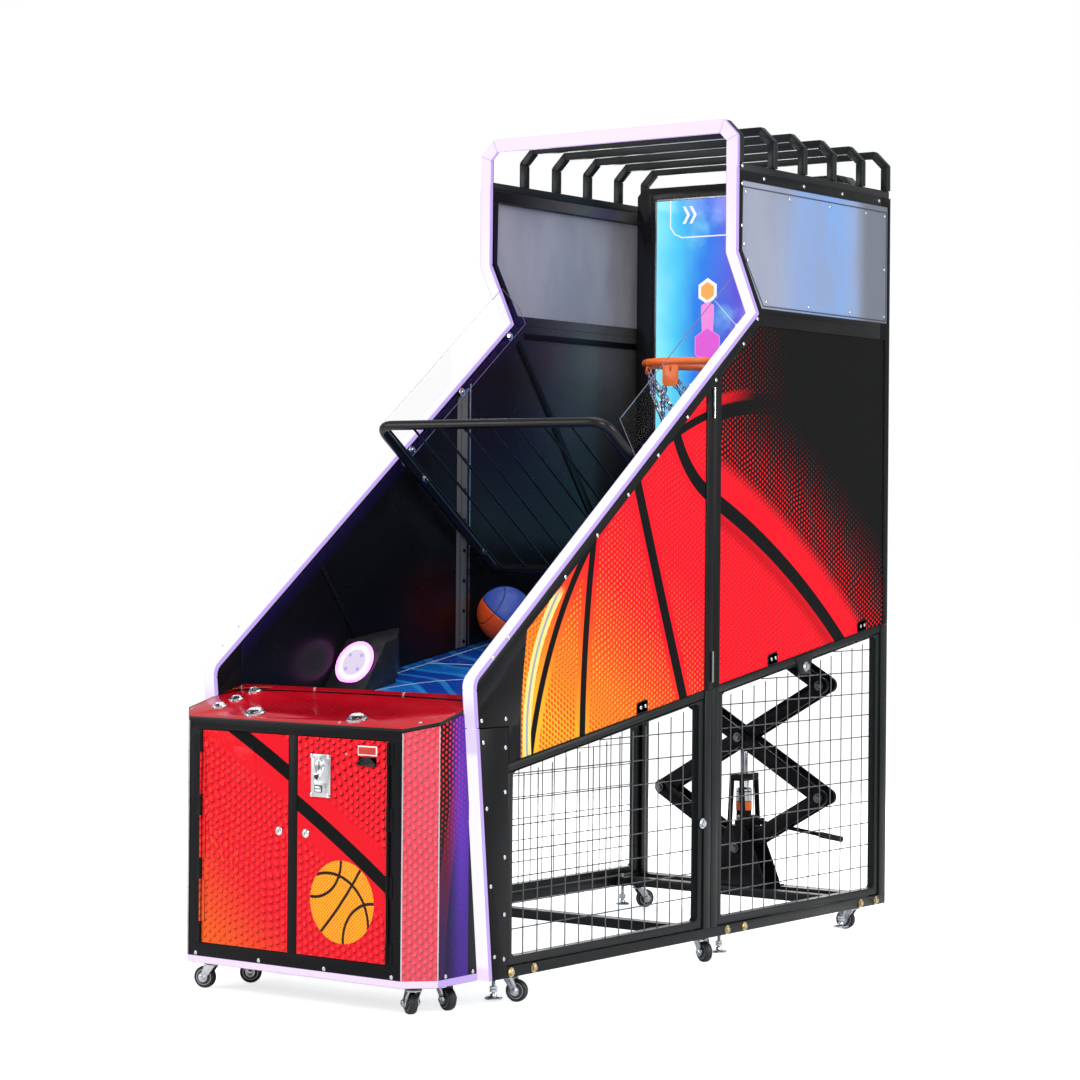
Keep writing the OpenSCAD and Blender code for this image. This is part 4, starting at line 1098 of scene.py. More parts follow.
class Stock:
    """The finishes that several sub-assemblies share."""

    def __init__(self) -> None:
        """Builds each shared finish once."""
        self.black = Paint("black_powder_coat", (0.0042, 0.0045, 0.0052), 0.36).build()
        self.frame_grey = Paint("frame_coat", (0.0060, 0.0082, 0.0085), 0.33, 0.22).build()
        self.satin = Paint("housing_coat", (0.0055, 0.0055, 0.0065), 0.26, 0.26, 0.08).build()
        self.orange = Paint("rim_orange", (0.86, 0.145, 0.02), 0.30, 0.45, 0.1).build()
        self.zinc = Metal("zinc_plate", (0.70, 0.74, 0.78), 0.25).build()
        self.brass = Metal("yellow_zinc", (0.68, 0.55, 0.34), 0.28).build()
        self.dull = Metal("dull_bolt", (0.20, 0.205, 0.215), 0.34).build()
        self.chrome = Metal("bright_chrome", (0.86, 0.87, 0.89), 0.09, 0.03).build()
        self.alloy = Metal("drawn_alloy", (0.70, 0.71, 0.73), 0.30, 0.3).build()
        self.tyre = Rubber("tyre_rubber", (0.012, 0.012, 0.014), 0.5).build()
        self.hub = Rubber("hub_plastic", (0.05, 0.055, 0.06), 0.35).build()
        self.grip = Rubber("grip_rubber", (0.01, 0.01, 0.011), 0.7).build()
        self.white_glow = StripFace().build()
        self.violet_glow = Glow("strip_edge", (0.62, 0.45, 0.98), 0.9).build()


class Fastener(Enum):
    """The kinds of screw on the machine, by head radius, head height and socket radius."""

    PAN = (0.0058, 0.0032, 0.0022)
    BOLT = (0.0095, 0.0055, 0.0)
    BIG_BOLT = (0.0110, 0.0075, 0.0)

    def model(self) -> Piece:
        """Returns one head, modelled at the origin with its outside towards +Z."""
        radius, height, socket = self.value
        clear_selection()
        if self is Fastener.PAN:
            bpy.ops.mesh.primitive_cylinder_add(vertices=16, radius=radius, depth=height,
                                                location=(0, 0, height / 2))
            head = place_applied(bpy.context.object, "screw_head")
            with editing(head):
                pick_faces(head, lambda face: face.normal.z > 0.9)
                bpy.ops.mesh.inset(thickness=radius * 0.35)
                bpy.ops.transform.translate(value=(0, 0, height * 0.25))
                bpy.ops.mesh.inset(thickness=radius * 0.65 - socket)
                bpy.ops.mesh.extrude_region_move(TRANSFORM_OT_translate={"value": (0, 0, -height * 0.5)})
            return eased(head, 0.0)
        washer = turned("washer",
                        [(0.0, -0.0005), (radius * 1.45, -0.0005), (radius * 1.45, 0.0016), (0.0, 0.0016)],
                        (0, 0, 0), (0, 0, 1), 20)
        bpy.ops.mesh.primitive_cylinder_add(vertices=6, radius=radius, depth=height,
                                            location=(0, 0, height / 2 + 0.0014))
        head = place_applied(bpy.context.object, "bolt_head")
        with editing(head):
            pick_faces(head, lambda face: face.normal.z > 0.9)
            bpy.ops.mesh.inset(thickness=radius * 0.12)
            bpy.ops.transform.translate(value=(0, 0, height * 0.16))
        return merged("bolt", [washer, eased(head, 0.0)])


def fasten(name: str, kind: Fastener, finish: bpy.types.Material, node: str,
           spots: Sequence[tuple[Sequence[float], Sequence[float]]]) -> Piece:
    """Sets screws at each spot.

    Args:
        name: The piece's name.
        kind: The kind of screw.
        finish: Its material.
        node: The CAD node that the screws move with.
        spots: Each screw's seat and outward direction.

    Returns:
        All the screws as one piece.
    """
    head = kind.model()
    places = [facing(seat, out, 0.7 * index) for index, (seat, out) in enumerate(spots)]
    return dress(copies(name, head, places), finish, node)


def both_sides(spots: Sequence[Point2],
               x: float) -> list[tuple[tuple[float, float, float], tuple[int, int, int]]]:
    """Returns screw spots on both walls for (y, z) places on the face at x."""
    return [((s.value * x, y, z), (s.value, 0, 0)) for s in Side for y, z in spots]


# ---------------------------------------------------------------- structure


@dataclass
class Structure:
    """Frames, housings and the lift's plain parts: the CAD shape with rounded edges and a finish."""

    stock: Stock
    edge: float = 0.0016

    def build(self) -> None:
        """Makes every plain structural piece and its fasteners."""
        plain = {
            "base_frame": (self.stock.frame_grey, 0.0022),
            "lower_posts": (self.stock.frame_grey, 0.0022),
            "column_covers": (self.stock.black, 0.0012),
            "cabinet_shell": (self.stock.black, 0.0014),
            "upper_frame": (self.stock.black, 0.0012),
            "roof_bars": (self.stock.frame_grey, 0.0024),
            "jack_base": (self.stock.black, 0.0012),
            "jack_ram": (self.stock.chrome, 0.0008),
            "arm_lower_left": (self.stock.black, self.edge),
            "arm_lower_right": (self.stock.black, self.edge),
            "arm_cross_a": (self.stock.black, self.edge),
            "arm_cross_b": (self.stock.black, self.edge),
            "arm_upper_left": (self.stock.black, self.edge),
            "arm_upper_right": (self.stock.black, self.edge),
        }
        for node, (finish, edge) in plain.items():
            dress(refined(node, edge), finish, node, replaces=True)
        self.rail_bolts()
        self.column_screws()

    def rail_bolts(self) -> None:
        """Sets the yellow bolts along the base rails and the lock bolts of the lift."""
        low = LAYOUT.gap + 0.014
        rail = [(y, low) for y in (-0.8585, -0.7525, 0.2455, 0.3445, 1.0585, 1.1585)]
        fasten("base_rail_bolts", Fastener.BOLT, self.stock.brass, "base_frame",
               both_sides(rail, LAYOUT.half_width))
        locks = [(0.6985, 0.892), (0.1015, 0.436)]
        fasten("lock_bolts", Fastener.BIG_BOLT, self.stock.zinc, "lower_posts",
               both_sides(locks, LAYOUT.half_width))

    def column_screws(self) -> None:
        """Sets the screws of the column covers and the frame round the windows."""
        lay = LAYOUT
        column = [(lay.column_y - 0.018, z) for z in (0.723, 0.600, 0.420, 0.262, 0.139)]
        column += [(lay.wall_front(z) + 0.026, z) for z in (0.742, 0.560, 0.345, 0.150)]
        fasten("column_cover_screws", Fastener.PAN, self.stock.zinc, "column_covers",
               both_sides(column, lay.half_width))
        upper = [(lay.column_y - 0.018, 0.802), (-1.005, 0.802), (-0.955, 0.972), (-0.885, 1.026)]
        for index in range(7):
            y = -0.62 + index * 0.155
            upper.append((y, lay.slope(y) - 0.044))
        upper += [(lay.corner_y + 0.004, lay.corner_z - 0.02), (lay.portal_y + 0.062, lay.bend_z - 0.02)]
        upper += [(lay.portal_y + 0.026, z) for z in (2.27, 2.40, 2.455)]
        upper += [(y, lay.roof_rail - 0.014) for y in (0.42, 0.66, 0.90, 1.14)]
        fasten("wall_frame_screws", Fastener.PAN, self.stock.zinc, "upper_frame",
               both_sides(upper, lay.half_width))


@dataclass
class WallFaces:
    """Outer graphic sheets, inner sheets, frosted windows and the small parts on them."""

    stock: Stock
    sheet_edge: float = 0.0006

    def build(self) -> None:
        """Makes the sheets and dresses them."""
        outer = WallPrint().build()
        inner = LinerPrint().build()
        sheets = refined("side_panels", self.sheet_edge, 1)
        middle = LAYOUT.inner + 0.01
        split_finish(sheets, outer, inner, lambda face: abs(face.center.x) < middle)
        dress(sheets, outer, "side_panels", replaces=True)
        dress(refined("window_panels", 0.0006, 1), Frosted().build(), "window_panels", replaces=True)
        self.window_parts()
        self.post_hinges()
        self.inner_rails()

    def window_parts(self) -> None:
        """Adds the pale gaskets round the windows and their screws."""
        low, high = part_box("window_panels")
        lay = LAYOUT
        face = lay.half_width - 0.003
        corners = [(lay.portal_y + 0.036, 2.392), (lay.portal_y + 0.033, 2.196),
                   (lay.corner_y + 0.044, low.z + 0.008),
                   (high.y - 0.008, low.z + 0.008), (high.y - 0.008, 2.392)]
        strips = []
        for side in Side:
            for index, (start, end) in enumerate(zip(corners, corners[1:] + corners[:1])):
                path = [(side.value * face, *start), (side.value * face, *end)]
                strips.append(tube(f"gasket_{side.name}_{index}", path, 0.0022, sides=1))
        gasket = Paint("window_gasket", (0.055, 0.057, 0.066), 0.5).build()
        dress(merged("window_gaskets", strips), gasket, "window_panels")
        spots = [(lay.portal_y + 0.052, 2.378), (lay.portal_y + 0.045, 2.215),
                 (lay.corner_y + 0.06, low.z + 0.022)]
        spots += [(y, 2.378) for y in (0.58, 0.83, 1.06, high.y - 0.022)]
        spots += [(y, low.z + 0.022) for y in (0.70, 0.96, high.y - 0.022)]
        spots += [(high.y - 0.022, 2.2)]
        fasten("window_screws", Fastener.PAN, self.stock.zinc, "window_panels", both_sides(spots, face))

    def post_hinges(self) -> None:
        """Adds the chrome hinges on the double posts, and the tabs along the seam."""
        lay = LAYOUT
        leaves = []
        pins = []
        for side in Side:
            x = side.value * lay.half_width
            for z in (1.716, 0.910):
                upper = z > lay.seam(lay.post_y)
                if not upper:
                    continue
                leaves.append(block(f"hinge_leaf_{side.name}_{int(z * 1000)}",
                                    (min(x, x + side.value * 0.0022), lay.post_y - 0.012, z - 0.045),
                                    (max(x, x + side.value * 0.0022), lay.post_y + 0.012, z + 0.045),
                                    0.0006))
                pins.append(((x + side.value * 0.0005, lay.post_y, z - 0.047),
                             (x + side.value * 0.0005, lay.post_y, z + 0.047)))
        dress(merged("post_hinge_leaves", leaves), self.stock.black, "upper_frame")
        dress(rods("post_hinge_pins", pins, 0.0036, 16), self.stock.chrome, "upper_frame")
        tabs = []
        for side in Side:
            x = side.value * lay.half_width
            near, far = sorted((x, x - side.value * 0.003))
            for index, y in enumerate((-0.2245, 0.4995, 1.0535)):
                z = lay.seam(y)
                plate = [(y - 0.027, z + 0.004), (y - 0.027, z + 0.030), (y - 0.020, z + 0.037),
                         (y + 0.020, z + 0.045),
                         (y + 0.027, z + 0.040), (y + 0.027, z + 0.012)]
                tabs.append(eased(outline(f"tab_{side.name}_{index}", plate, "yz", near, far), 0.0008))
        dress(merged("seam_tabs", tabs), self.stock.black, "upper_frame")
        spots = [(y + d, lay.seam(y) + 0.024 + d * 0.16) for y in (-0.2245, 0.4995, 1.0535)
                 for d in (-0.012, 0.012)]
        fasten("seam_tab_screws", Fastener.PAN, self.stock.zinc, "upper_frame",
               both_sides(spots, lay.half_width))

    def inner_rails(self) -> None:
        """Adds the perforated rail and bright trims on the inner walls, and the sheet seams."""
        lay = LAYOUT
        rails, trims, holes = [], [], []
        for side in Side:
            x = side.value * (lay.inner - 0.0003)
            for y0, y1, depth in ((0.101, 0.121, 0.0022), (0.124, 0.152, 0.0032)):
                low, high = sorted((x, x - side.value * depth))
                corners = [(y0, lay.ramp(y0) + 0.004), (y1, lay.ramp(y1) + 0.004),
                           (y1, lay.slope(y1) - 0.045), (y0, lay.slope(y0) - 0.045)]
                rails.append(eased(outline(f"rail_{side.name}_{y0}", corners, "yz", low, high), 0.0007))
            low, high = sorted((x, x - side.value * 0.0025))
            corners = [(0.1655, lay.ramp(0.17) + 0.004), (0.1695, lay.ramp(0.17) + 0.004),
                       (0.1695, lay.slope(0.17) - 0.045), (0.1655, lay.slope(0.17) - 0.045)]
            trims.append(eased(outline(f"trim_{side.name}", corners, "yz", low, high), 0.0005))
            for index in range(8):
                holes.append(((x - side.value * 0.003, 0.138, 0.96 + 0.098 * index), (-side.value, 0, 0)))
        grey = Paint("galvanised_rail", (0.10, 0.10, 0.10), 0.4, 0.4).build()
        dress(merged("inner_wall_rails", rails), grey, "side_panels")
        dress(merged("inner_wall_trims", trims), self.stock.alloy, "side_panels")
        fasten("inner_rail_screws", Fastener.PAN, self.stock.black, "side_panels", holes)
        bars = []
        pairs = [((0.4265, 1.944), (0.8465, 1.385), 0.030), ((-0.5635, 1.204), (-0.4005, 0.983), 0.012),
                 ((0.46, 1.967), (1.12, 1.967), 0.020)]
        for side in Side:
            low, high = sorted((side.value * (lay.inner - 0.0003), side.value * (lay.inner - 0.0046)))
            for index, ((y0, z0), (y1, z1), width) in enumerate(pairs):
                run = Vector((y1 - y0, z1 - z0)).normalized()
                off = Vector((-run.y, run.x)) * width / 2
                corners = [(y0 - off.x, z0 - off.y), (y1 - off.x, z1 - off.y), (y1 + off.x, z1 + off.y),
                           (y0 + off.x, z0 + off.y)]
                bars.append(eased(outline(f"wall_bar_{side.name}_{index}", corners, "yz", low, high),
                                  0.0010))
        dress(merged("inner_wall_bars", bars), self.stock.black, "side_panels")


@dataclass
class LightStrips:
    """Lit diffusers up the walls, round the portal and round the cabinet's foot."""

    stock: Stock
    rounding: float = 0.0028

    def build(self) -> None:
        """Makes both diffusers, white in front with violet edges."""
        for node in ("light_strips", "lower_light_strips"):
            strip = refined(node, self.rounding, 2)
            split_finish(strip, self.stock.white_glow, self.stock.violet_glow, self.is_edge)
            dress(strip, self.stock.white_glow, node, replaces=True)

    @staticmethod
    def is_edge(face: bpy.types.MeshPolygon) -> bool:
        """Tells whether a face belongs to the strip's violet edge."""
        n = face.normal
        at_foot = face.center.z < LAYOUT.gap + 0.03 and abs(face.center.x) < LAYOUT.inner
        if at_foot:
            return abs(n.z) > 0.3
        if face.center.z > 2.46 and abs(face.center.x) < LAYOUT.half_width:
            return n.y > -0.9
        return abs(n.x) > 0.3 or n.y > 0.2


@dataclass
class MeshBay:
    """Wire panels of the lower bay: flat bar frames and round wires in two layers."""

    stock: Stock
    wire_r: float = 0.0018
    bar: float = 0.027
    pitch_y: float = 0.069
    pitch_z: float = 0.072

    def build(self) -> None:
        """Makes both halves on both sides."""
        lay = LAYOUT
        spans = [(lay.column_y, lay.post_y - 0.038), (lay.post_y + 0.038, lay.rear - 0.040)]
        bars, upright, level = [], [], []
        for side in Side:
            for start, end in spans:
                bars.append(self.frame_bars(side, start, end))
                self.wires(side, start, end, upright, level)
        panel = dress(merged("mesh_frames", bars), self.stock.frame_grey, "mesh_panels", replaces=True)
        dark = Metal("dark_wire", (0.16, 0.165, 0.175), 0.34).build()
        dress(rods("mesh_wires_upright", upright, self.wire_r, 8), dark, "mesh_panels")
        dress(rods("mesh_wires_level", level, self.wire_r, 8), dark, "mesh_panels")
        LOG.info("%s covers %d wires", panel.name, len(upright) + len(level))

    def opening(self, start: float, end: float) -> list[Point2]:
        """Returns the corners of a panel's clear opening, with cut corners."""
        lay, b = LAYOUT, self.bar
        z0 = lay.gap + 0.030
        t0, t1 = lay.seam(start) - 0.021, lay.seam(end) - 0.021
        k = lay.seam_slope
        return [(start + b, z0 + b + 0.009), (start + b + 0.009, z0 + b), (end - b - 0.009, z0 + b),
                (end - b, z0 + b + 0.009),
                (end - b, t1 - b * k - 0.018), (end - b - 0.018, t1 - b * k - 0.011),
                (start + b + 0.012, t0 + b * k - 0.004), (start + b, t0 + b * k - 0.011)]

    def frame_bars(self, side: Side, start: float, end: float) -> Piece:
        """Models one flat frame by bridging its outer and inner outlines."""
        lay = LAYOUT
        z0 = lay.gap + 0.030
        t0, t1 = lay.seam(start) - 0.021, lay.seam(end) - 0.021
        inner = self.opening(start, end)
        outer = [(start, z0), (start + 0.009, z0), (end - 0.009, z0), (end, z0), (end, t1),
                 (end - 0.018, t1 - 0.018 * lay.seam_slope),
                 (start + 0.012, t0 + 0.012 * lay.seam_slope), (start, t0)]
        low, high = sorted((side.value * (lay.half_width - 0.0043), side.value * (lay.half_width - 0.030)))
        piece = outline(f"mesh_frame_{side.name}_{int(start * 1000)}", outer, "yz", low, high)
        count = len(outer)
        with editing(piece):
            pick_faces(piece, lambda face: abs(face.normal.x) > 0.9)
            bpy.ops.mesh.inset(thickness=0.004)
            mesh = bmesh.from_edit_mesh(piece.data)
            mesh.verts.ensure_lookup_table()
            ring = [v for v in mesh.verts if v.index >= 2 * count]
            for vertex in ring:
                nearest = min(range(count),
                              key=lambda i: (outer[i][0] - vertex.co.y) ** 2
                              + (outer[i][1] - vertex.co.z) ** 2)
                vertex.co.y, vertex.co.z = inner[nearest]
            bmesh.update_edit_mesh(piece.data)
            bpy.ops.mesh.bridge_edge_loops()
        return eased(piece, 0.0016)

    def wires(self, side: Side, start: float, end: float, upright: list, level: list) -> None:
        """Adds one panel's wires to the two lists of rod ends."""
        lay, b = LAYOUT, self.bar
        z0, k = lay.gap + 0.030, lay.seam_slope
        t0, t1 = lay.seam(start) - 0.021, lay.seam(end) - 0.021
        x_out = side.value * (lay.half_width - 0.0168)
        x_in = side.value * (lay.half_width - 0.0206)
        count = math.floor((end - start - 2 * b) / self.pitch_y)
        step = (end - start - 2 * b) / (count + 1)
        for index in range(1, count + 1):
            y = start + b + index * step
            upright.append(((x_out, y, z0 + b - 0.004), (x_out, y, lay.seam(y) - 0.044)))
        for index in range(1, math.floor((t1 - z0 - 2 * b) / self.pitch_z) + 1):
            z = z0 + b + index * self.pitch_z
            first = start + b - 0.004 if z < t0 - 0.014 else start + (z + 0.012 - t0) / k + 0.006
            level.append(((x_in, first, z), (x_in, end - b + 0.004, z)))


# ---------------------------------------------------------------- cabinet


@dataclass
class Cabinet:
    """Service doors, corner prints and the small parts of the cabinet's front."""

    stock: Stock
    lock_x: float = 0.049
    lock_z: float = 0.480
    plate_x: Point2 = (0.069, 0.140)

    def build(self) -> None:
        """Makes the doors, prints, coin entry, ticket mouth and locks."""
        door_art = DoorPrint().build()
        y = LAYOUT.front
        for node in ("door_left", "door_right"):
            door = refined(node, 0.0008, 1)
            split_finish(door, door_art, self.stock.black,
                         lambda face: not (face.center.y < y + 0.0045 and face.normal.y < -0.4)
                         or abs(face.center.x) > 0.3435)
            dress(door, door_art, node, replaces=True)
        self.corner_sheets()
        self.locks()
        self.coin_entry()
        self.ticket_mouth()
        self.blank_cover()
        self.foot_screws()

    def corner_sheets(self) -> None:
        """Adds the printed corner and side sheets with their bright edge trims."""
        lay = LAYOUT
        art = CornerPrint().build()
        top = {"front": lay.deck(lay.front) - 0.012}
        a, b, c = 0.392, 0.461, 0.071
        y0, y1 = lay.front + 0.0025, lay.front + 0.0025 + c
        out = 0.0012
        sheets, trims = [], []
        for side in Side:
            s = side.value
            first = Vector((s * a, y0, 0))
            second = Vector((s * b, y1, 0))
            normal = Vector((s * c, -(b - a), 0)).normalized() * out
            corner = self.wall_sheet(f"corner_{side.name}", first + normal * 0.2, second + normal * 0.2,
                                     0.104, top["front"], lay.deck(y1) - 0.012, normal)
            end = Vector((s * b, lay.wall_front(0.45) - 0.012, 0))
            skin = self.wall_sheet(f"flank_{side.name}", second + Vector((s * 0.0002, 0.001, 0)),
                                   end + Vector((s * 0.0002, 0, 0)),
                                   0.104, lay.deck(y1) - 0.012, lay.deck(end.y) - 0.012,
                                   Vector((s * out, 0, 0)))
            sheets += [corner, skin]
            for point, z_top in ((first, top["front"]), (second, lay.deck(y1) - 0.012)):
                away = (normal.normalized()
                        + Vector(TO_PLAYER if point is first else (s, 0, 0))).normalized() * 0.0009
                trims.append(((point.x + away.x, point.y + away.y, 0.104),
                              (point.x + away.x, point.y + away.y, z_top)))
        dress(merged("corner_prints", sheets), art, "cabinet_shell")
        dress(rods("corner_trims", trims, 0.0021, 10), self.stock.alloy, "cabinet_shell")

    @staticmethod
    def wall_sheet(name: str, start: Vector, end: Vector, low: float, high_start: float, high_end: float,
                   out: Vector) -> Piece:
        """Models an upright sheet from start to end, as thick as out."""
        clear_selection()
        bpy.ops.mesh.primitive_plane_add(size=1.0)
        sheet = place_applied(bpy.context.object, name)
        corners = [(start.x, start.y, low), (end.x, end.y, low), (start.x, start.y, high_start),
                   (end.x, end.y, high_end)]
        for vertex, corner in zip(sheet.data.vertices, corners):
            vertex.co = corner
        with editing(sheet):
            bpy.ops.mesh.select_all(action="SELECT")
            bpy.ops.mesh.extrude_region_move(TRANSFORM_OT_translate={"value": out})
            face_outward()
        return sheet

    def locks(self) -> None:
        """Adds a chrome cam lock to each door."""
        y = LAYOUT.front
        for side in Side:
            node = "door_left" if side is Side.LEFT else "door_right"
            profile = [(0.0, 0.0), (0.0125, 0.0), (0.0125, 0.003), (0.0105, 0.0052), (0.0075, 0.0060),
                       (0.0068, 0.0046), (0.0, 0.0046)]
            bezel = turned(f"lock_bezel_{side.name}", profile,
                           (side.value * self.lock_x, y + 0.0024, self.lock_z), TO_PLAYER, 28)
            slot = block(f"lock_slot_{side.name}",
                         (side.value * self.lock_x - 0.0009, y - 0.0034, self.lock_z - 0.0042),
                         (side.value * self.lock_x + 0.0009, y - 0.0018, self.lock_z + 0.0042), 0.0003)
            slot.data.materials.append(self.stock.tyre)
            bezel.data.materials.append(self.stock.chrome)
            dress(merged(f"door_lock_{side.name.lower()}", [bezel, slot]), self.stock.chrome, node)

    def coin_entry(self) -> None:
        """Makes the cast coin plate with its funnel, reject button, return cup and screws."""
        y = LAYOUT.front
        x0, x1 = self.plate_x
        z0, z1 = LAYOUT.door_z + 0.441, LAYOUT.door_z + 0.560
        middle = (x0 + x1) / 2
        plate = refined("coin_plate", 0.0018, 3)
        dress(plate, self.stock.alloy, "coin_plate", replaces=True)
        funnel = turned("coin_funnel",
                        [(0.0, 0.0), (0.020, 0.0), (0.020, 0.002), (0.016, 0.0048), (0.010, 0.0028),
                         (0.0, 0.0022)],
                        (middle - 0.0035, y - 0.003, z0 + 0.086), TO_PLAYER, 32)
        funnel.data.transform(Matrix.Translation((middle, 0, z0 + 0.086))
                              @ Matrix.Diagonal((0.85, 1, 1.25, 1))
                              @ Matrix.Translation((-middle, 0, -(z0 + 0.086))))
        dress(funnel, self.stock.chrome, "coin_plate")
        slit = block("coin_slit", (middle - 0.0052, y - 0.0062, z0 + 0.066),
                     (middle - 0.0018, y - 0.0048, z0 + 0.104), 0.0004)
        button = turned("reject_button",
                        [(0.0, 0.0), (0.0075, 0.0), (0.0075, 0.004), (0.0055, 0.0055), (0.0, 0.0058)],
                        (middle - 0.012, y - 0.003, z0 + 0.056), TO_PLAYER, 24)
        ring = turned("reject_ring", [(0.0078, 0.0), (0.0105, 0.0), (0.0105, 0.0024), (0.0078, 0.0030)],
                      (middle - 0.012, y - 0.003, z0 + 0.056), TO_PLAYER, 24)
        dress(merged("coin_slit_and_button", [slit, button]), self.stock.tyre, "coin_plate")
        dress(ring, self.stock.chrome, "coin_plate")
        cup = block("return_cup_mouth", (middle - 0.016, y - 0.0098, z0 + 0.014),
                    (middle + 0.012, y - 0.0086, z0 + 0.034), 0.0010)
        dress(cup, self.stock.tyre, "coin_plate")
        flap = block("return_flap", (middle - 0.013, y - 0.0112, z0 + 0.016),
                     (middle + 0.009, y - 0.0096, z0 + 0.030), 0.0010)
        dress(flap, self.stock.chrome, "coin_plate")
        screws = [((x, y - 0.003, z), TO_PLAYER) for x in (x0 + 0.006, x1 - 0.006)
                  for z in (z0 + 0.006, z1 - 0.006)]
        fasten("coin_plate_screws", Fastener.PAN, self.stock.chrome, "coin_plate", screws)

    def ticket_mouth(self) -> None:
        """Adds the blank lit label and the rounded ticket mouth below it."""
        y = LAYOUT.front
        border = block("label_border", (0.235, y - 0.0006, 0.706), (0.303, y + 0.0026, 0.733), 0.0016)
        border.data.materials.append(Paint("label_white", (0.72, 0.68, 0.66), 0.3).build())
        face = block("label_face", (0.2385, y - 0.0012, 0.7095), (0.2995, y + 0.0006, 0.7295), 0.0007)
        face.data.materials.append(Glow("label_red", (0.85, 0.075, 0.05), 0.7).build())
        dress(merged("ticket_label", [border, face]), self.stock.black, "door_right")
        arch = [(0.236 + 0.064 * t / 8,
                 0.681 + 0.022 * math.sin(math.pi * min(1.0, max(0.0, (t + 0.6) / 9.2)))) for t in range(9)]
        lip = outline("ticket_lip", [(0.236, 0.6775), (0.300, 0.6775)] + arch[::-1], "xz", y - 0.0046,
                      y + 0.0022)
        with editing(lip):
            pick_faces(lip, lambda face: face.normal.y < -0.9)
            bpy.ops.mesh.inset(thickness=0.0035)
            bpy.ops.mesh.extrude_region_move(TRANSFORM_OT_translate={"value": (0, 0.0052, 0)})
        dress(eased(lip, 0.0006), self.stock.satin, "door_right")
        lamp = turned("door_pilot_lamp", [(0.0, 0.0), (0.0035, 0.0), (0.0032, 0.0018), (0.0, 0.0026)],
                      (0.193, y + 0.0024, 0.707), TO_PLAYER, 16)
        dress(lamp, Glow("pilot_red", (1.0, 0.35, 0.35), 0.9).build(), "door_right")

    def blank_cover(self) -> None:
        """Adds the flush blank cover of the left door as a fine raised plate."""
        y = LAYOUT.front
        cover = block("blank_cover", (-0.224, y + 0.0016, 0.605), (-0.138, y + 0.0026, 0.708), 0.0004)
        dress(cover, DoorPrint("cover_print").build(), "door_left")

    def foot_screws(self) -> None:
        """Sets the screws along the cabinet's foot."""
        y = LAYOUT.front + 0.0025
        spots = [((x, y, 0.112), TO_PLAYER) for x in (-0.36, -0.12, 0.12, 0.36)]
        spots += [((s.value * 0.461, yy, 0.112), (s.value, 0, 0)) for s in Side for yy in (-1.105, -0.985)]
        fasten("cabinet_foot_screws", Fastener.PAN, self.stock.zinc, "cabinet_shell", spots)


@dataclass
class Deck:
    """Control deck with its print, screws and clear domed push-buttons."""

    stock: Stock
    buttons: tuple[tuple[str, float, float, float], ...] = (
        ("button_big_left", -0.188, 0.052, 0.024), ("button_big_right", 0.188, 0.052, 0.024),
        ("button_small_1", -0.358, 0.090, 0.015), ("button_small_2", -0.356, 0.158, 0.015),
        ("button_small_3", -0.355, 0.234, 0.015))

    def build(self) -> None:
        """Makes the deck, its screws and the five buttons."""
        art = DeckPrint().build()
        tilt = Vector((0, -math.sin(LAYOUT.deck_angle), math.cos(LAYOUT.deck_angle)))
        deck = refined("control_deck", 0.0012)
        split_finish(deck, art, self.stock.frame_grey, lambda face: face.normal.dot(tilt) < 0.6)
        dress(deck, art, "control_deck", replaces=True)
        spots = []
        for x, y in ((-0.434, -1.1525), (-0.176, -1.1895), (0.154, -1.1925), (0.410, -1.1565),
                     (-0.445, -0.9345), (-0.169, -0.9235), (0.164, -0.9255), (0.445, -0.9255)):
            spots.append(((x, y, LAYOUT.deck(y)), tilt))
        fasten("deck_screws", Fastener.PAN, self.stock.chrome, "control_deck", spots)
        dome = ClearPlastic("button_dome", (0.93, 0.93, 0.96), 0.03).build()
        core = Glow("button_core", (0.62, 0.36, 0.33), 0.22).build()
        for node, x, back, radius in self.buttons:
            self.button(node, x, LAYOUT.front + back, radius, tilt, dome, core)

    def button(self, node: str, x: float, y: float, r: float, tilt: Vector, dome: bpy.types.Material,
               core: bpy.types.Material) -> None:
        """Makes one push-button: chrome bezel on the deck, and a clear cap over its lit core."""
        seat = (x, y, LAYOUT.deck(y))
        bezel = turned(node + "_bezel",
                       [(r + 0.0002, 0.0), (r + 0.0075, 0.0), (r + 0.0072, 0.0034), (r + 0.0045, 0.0062),
                        (r + 0.0012, 0.0064), (r + 0.0002, 0.0048)], seat, tilt, 48)
        dress(bezel, self.stock.chrome, "control_deck")
        arc = [((r - 0.001) * math.cos(a), 0.006 + r * 0.54 * math.sin(a))
               for a in (math.radians(12 * i) for i in range(8))]
        cap = turned(node + "_cap",
                     [(0.0, 0.0045), (r - 0.0012, 0.0045)] + arc[:-1] + [(0.0, 0.006 + r * 0.54)], seat,
                     tilt, 40)
        dress(cap, dome, node, replaces=True)
        disc = turned(node + "_core",
                      [(0.0, -0.007), (r - 0.001, -0.007), (r - 0.001, 0.0012), (r - 0.003, 0.0026),
                       (0.0, 0.0028)], seat, tilt, 32)
        dress(disc, core, node)


# ---------------------------------------------------------------- play space


@dataclass
class Ramp:
    """Printed ball ramp with its glossy red lip at the front."""

    stock: Stock

    def build(self) -> None:
        """Makes the ramp and the lip's finish."""
        lip_y = LAYOUT.front + 0.319
        red = Paint("ramp_lip_red", (0.55, 0.006, 0.014), 0.18, 0.5, 0.05).build()
        ramp = refined("ball_ramp", 0.0010)
        split_finish(ramp, RampPrint().build(), red, lambda face: face.center.y < lip_y + 0.002)
        dress(ramp, red, "ball_ramp", replaces=True)


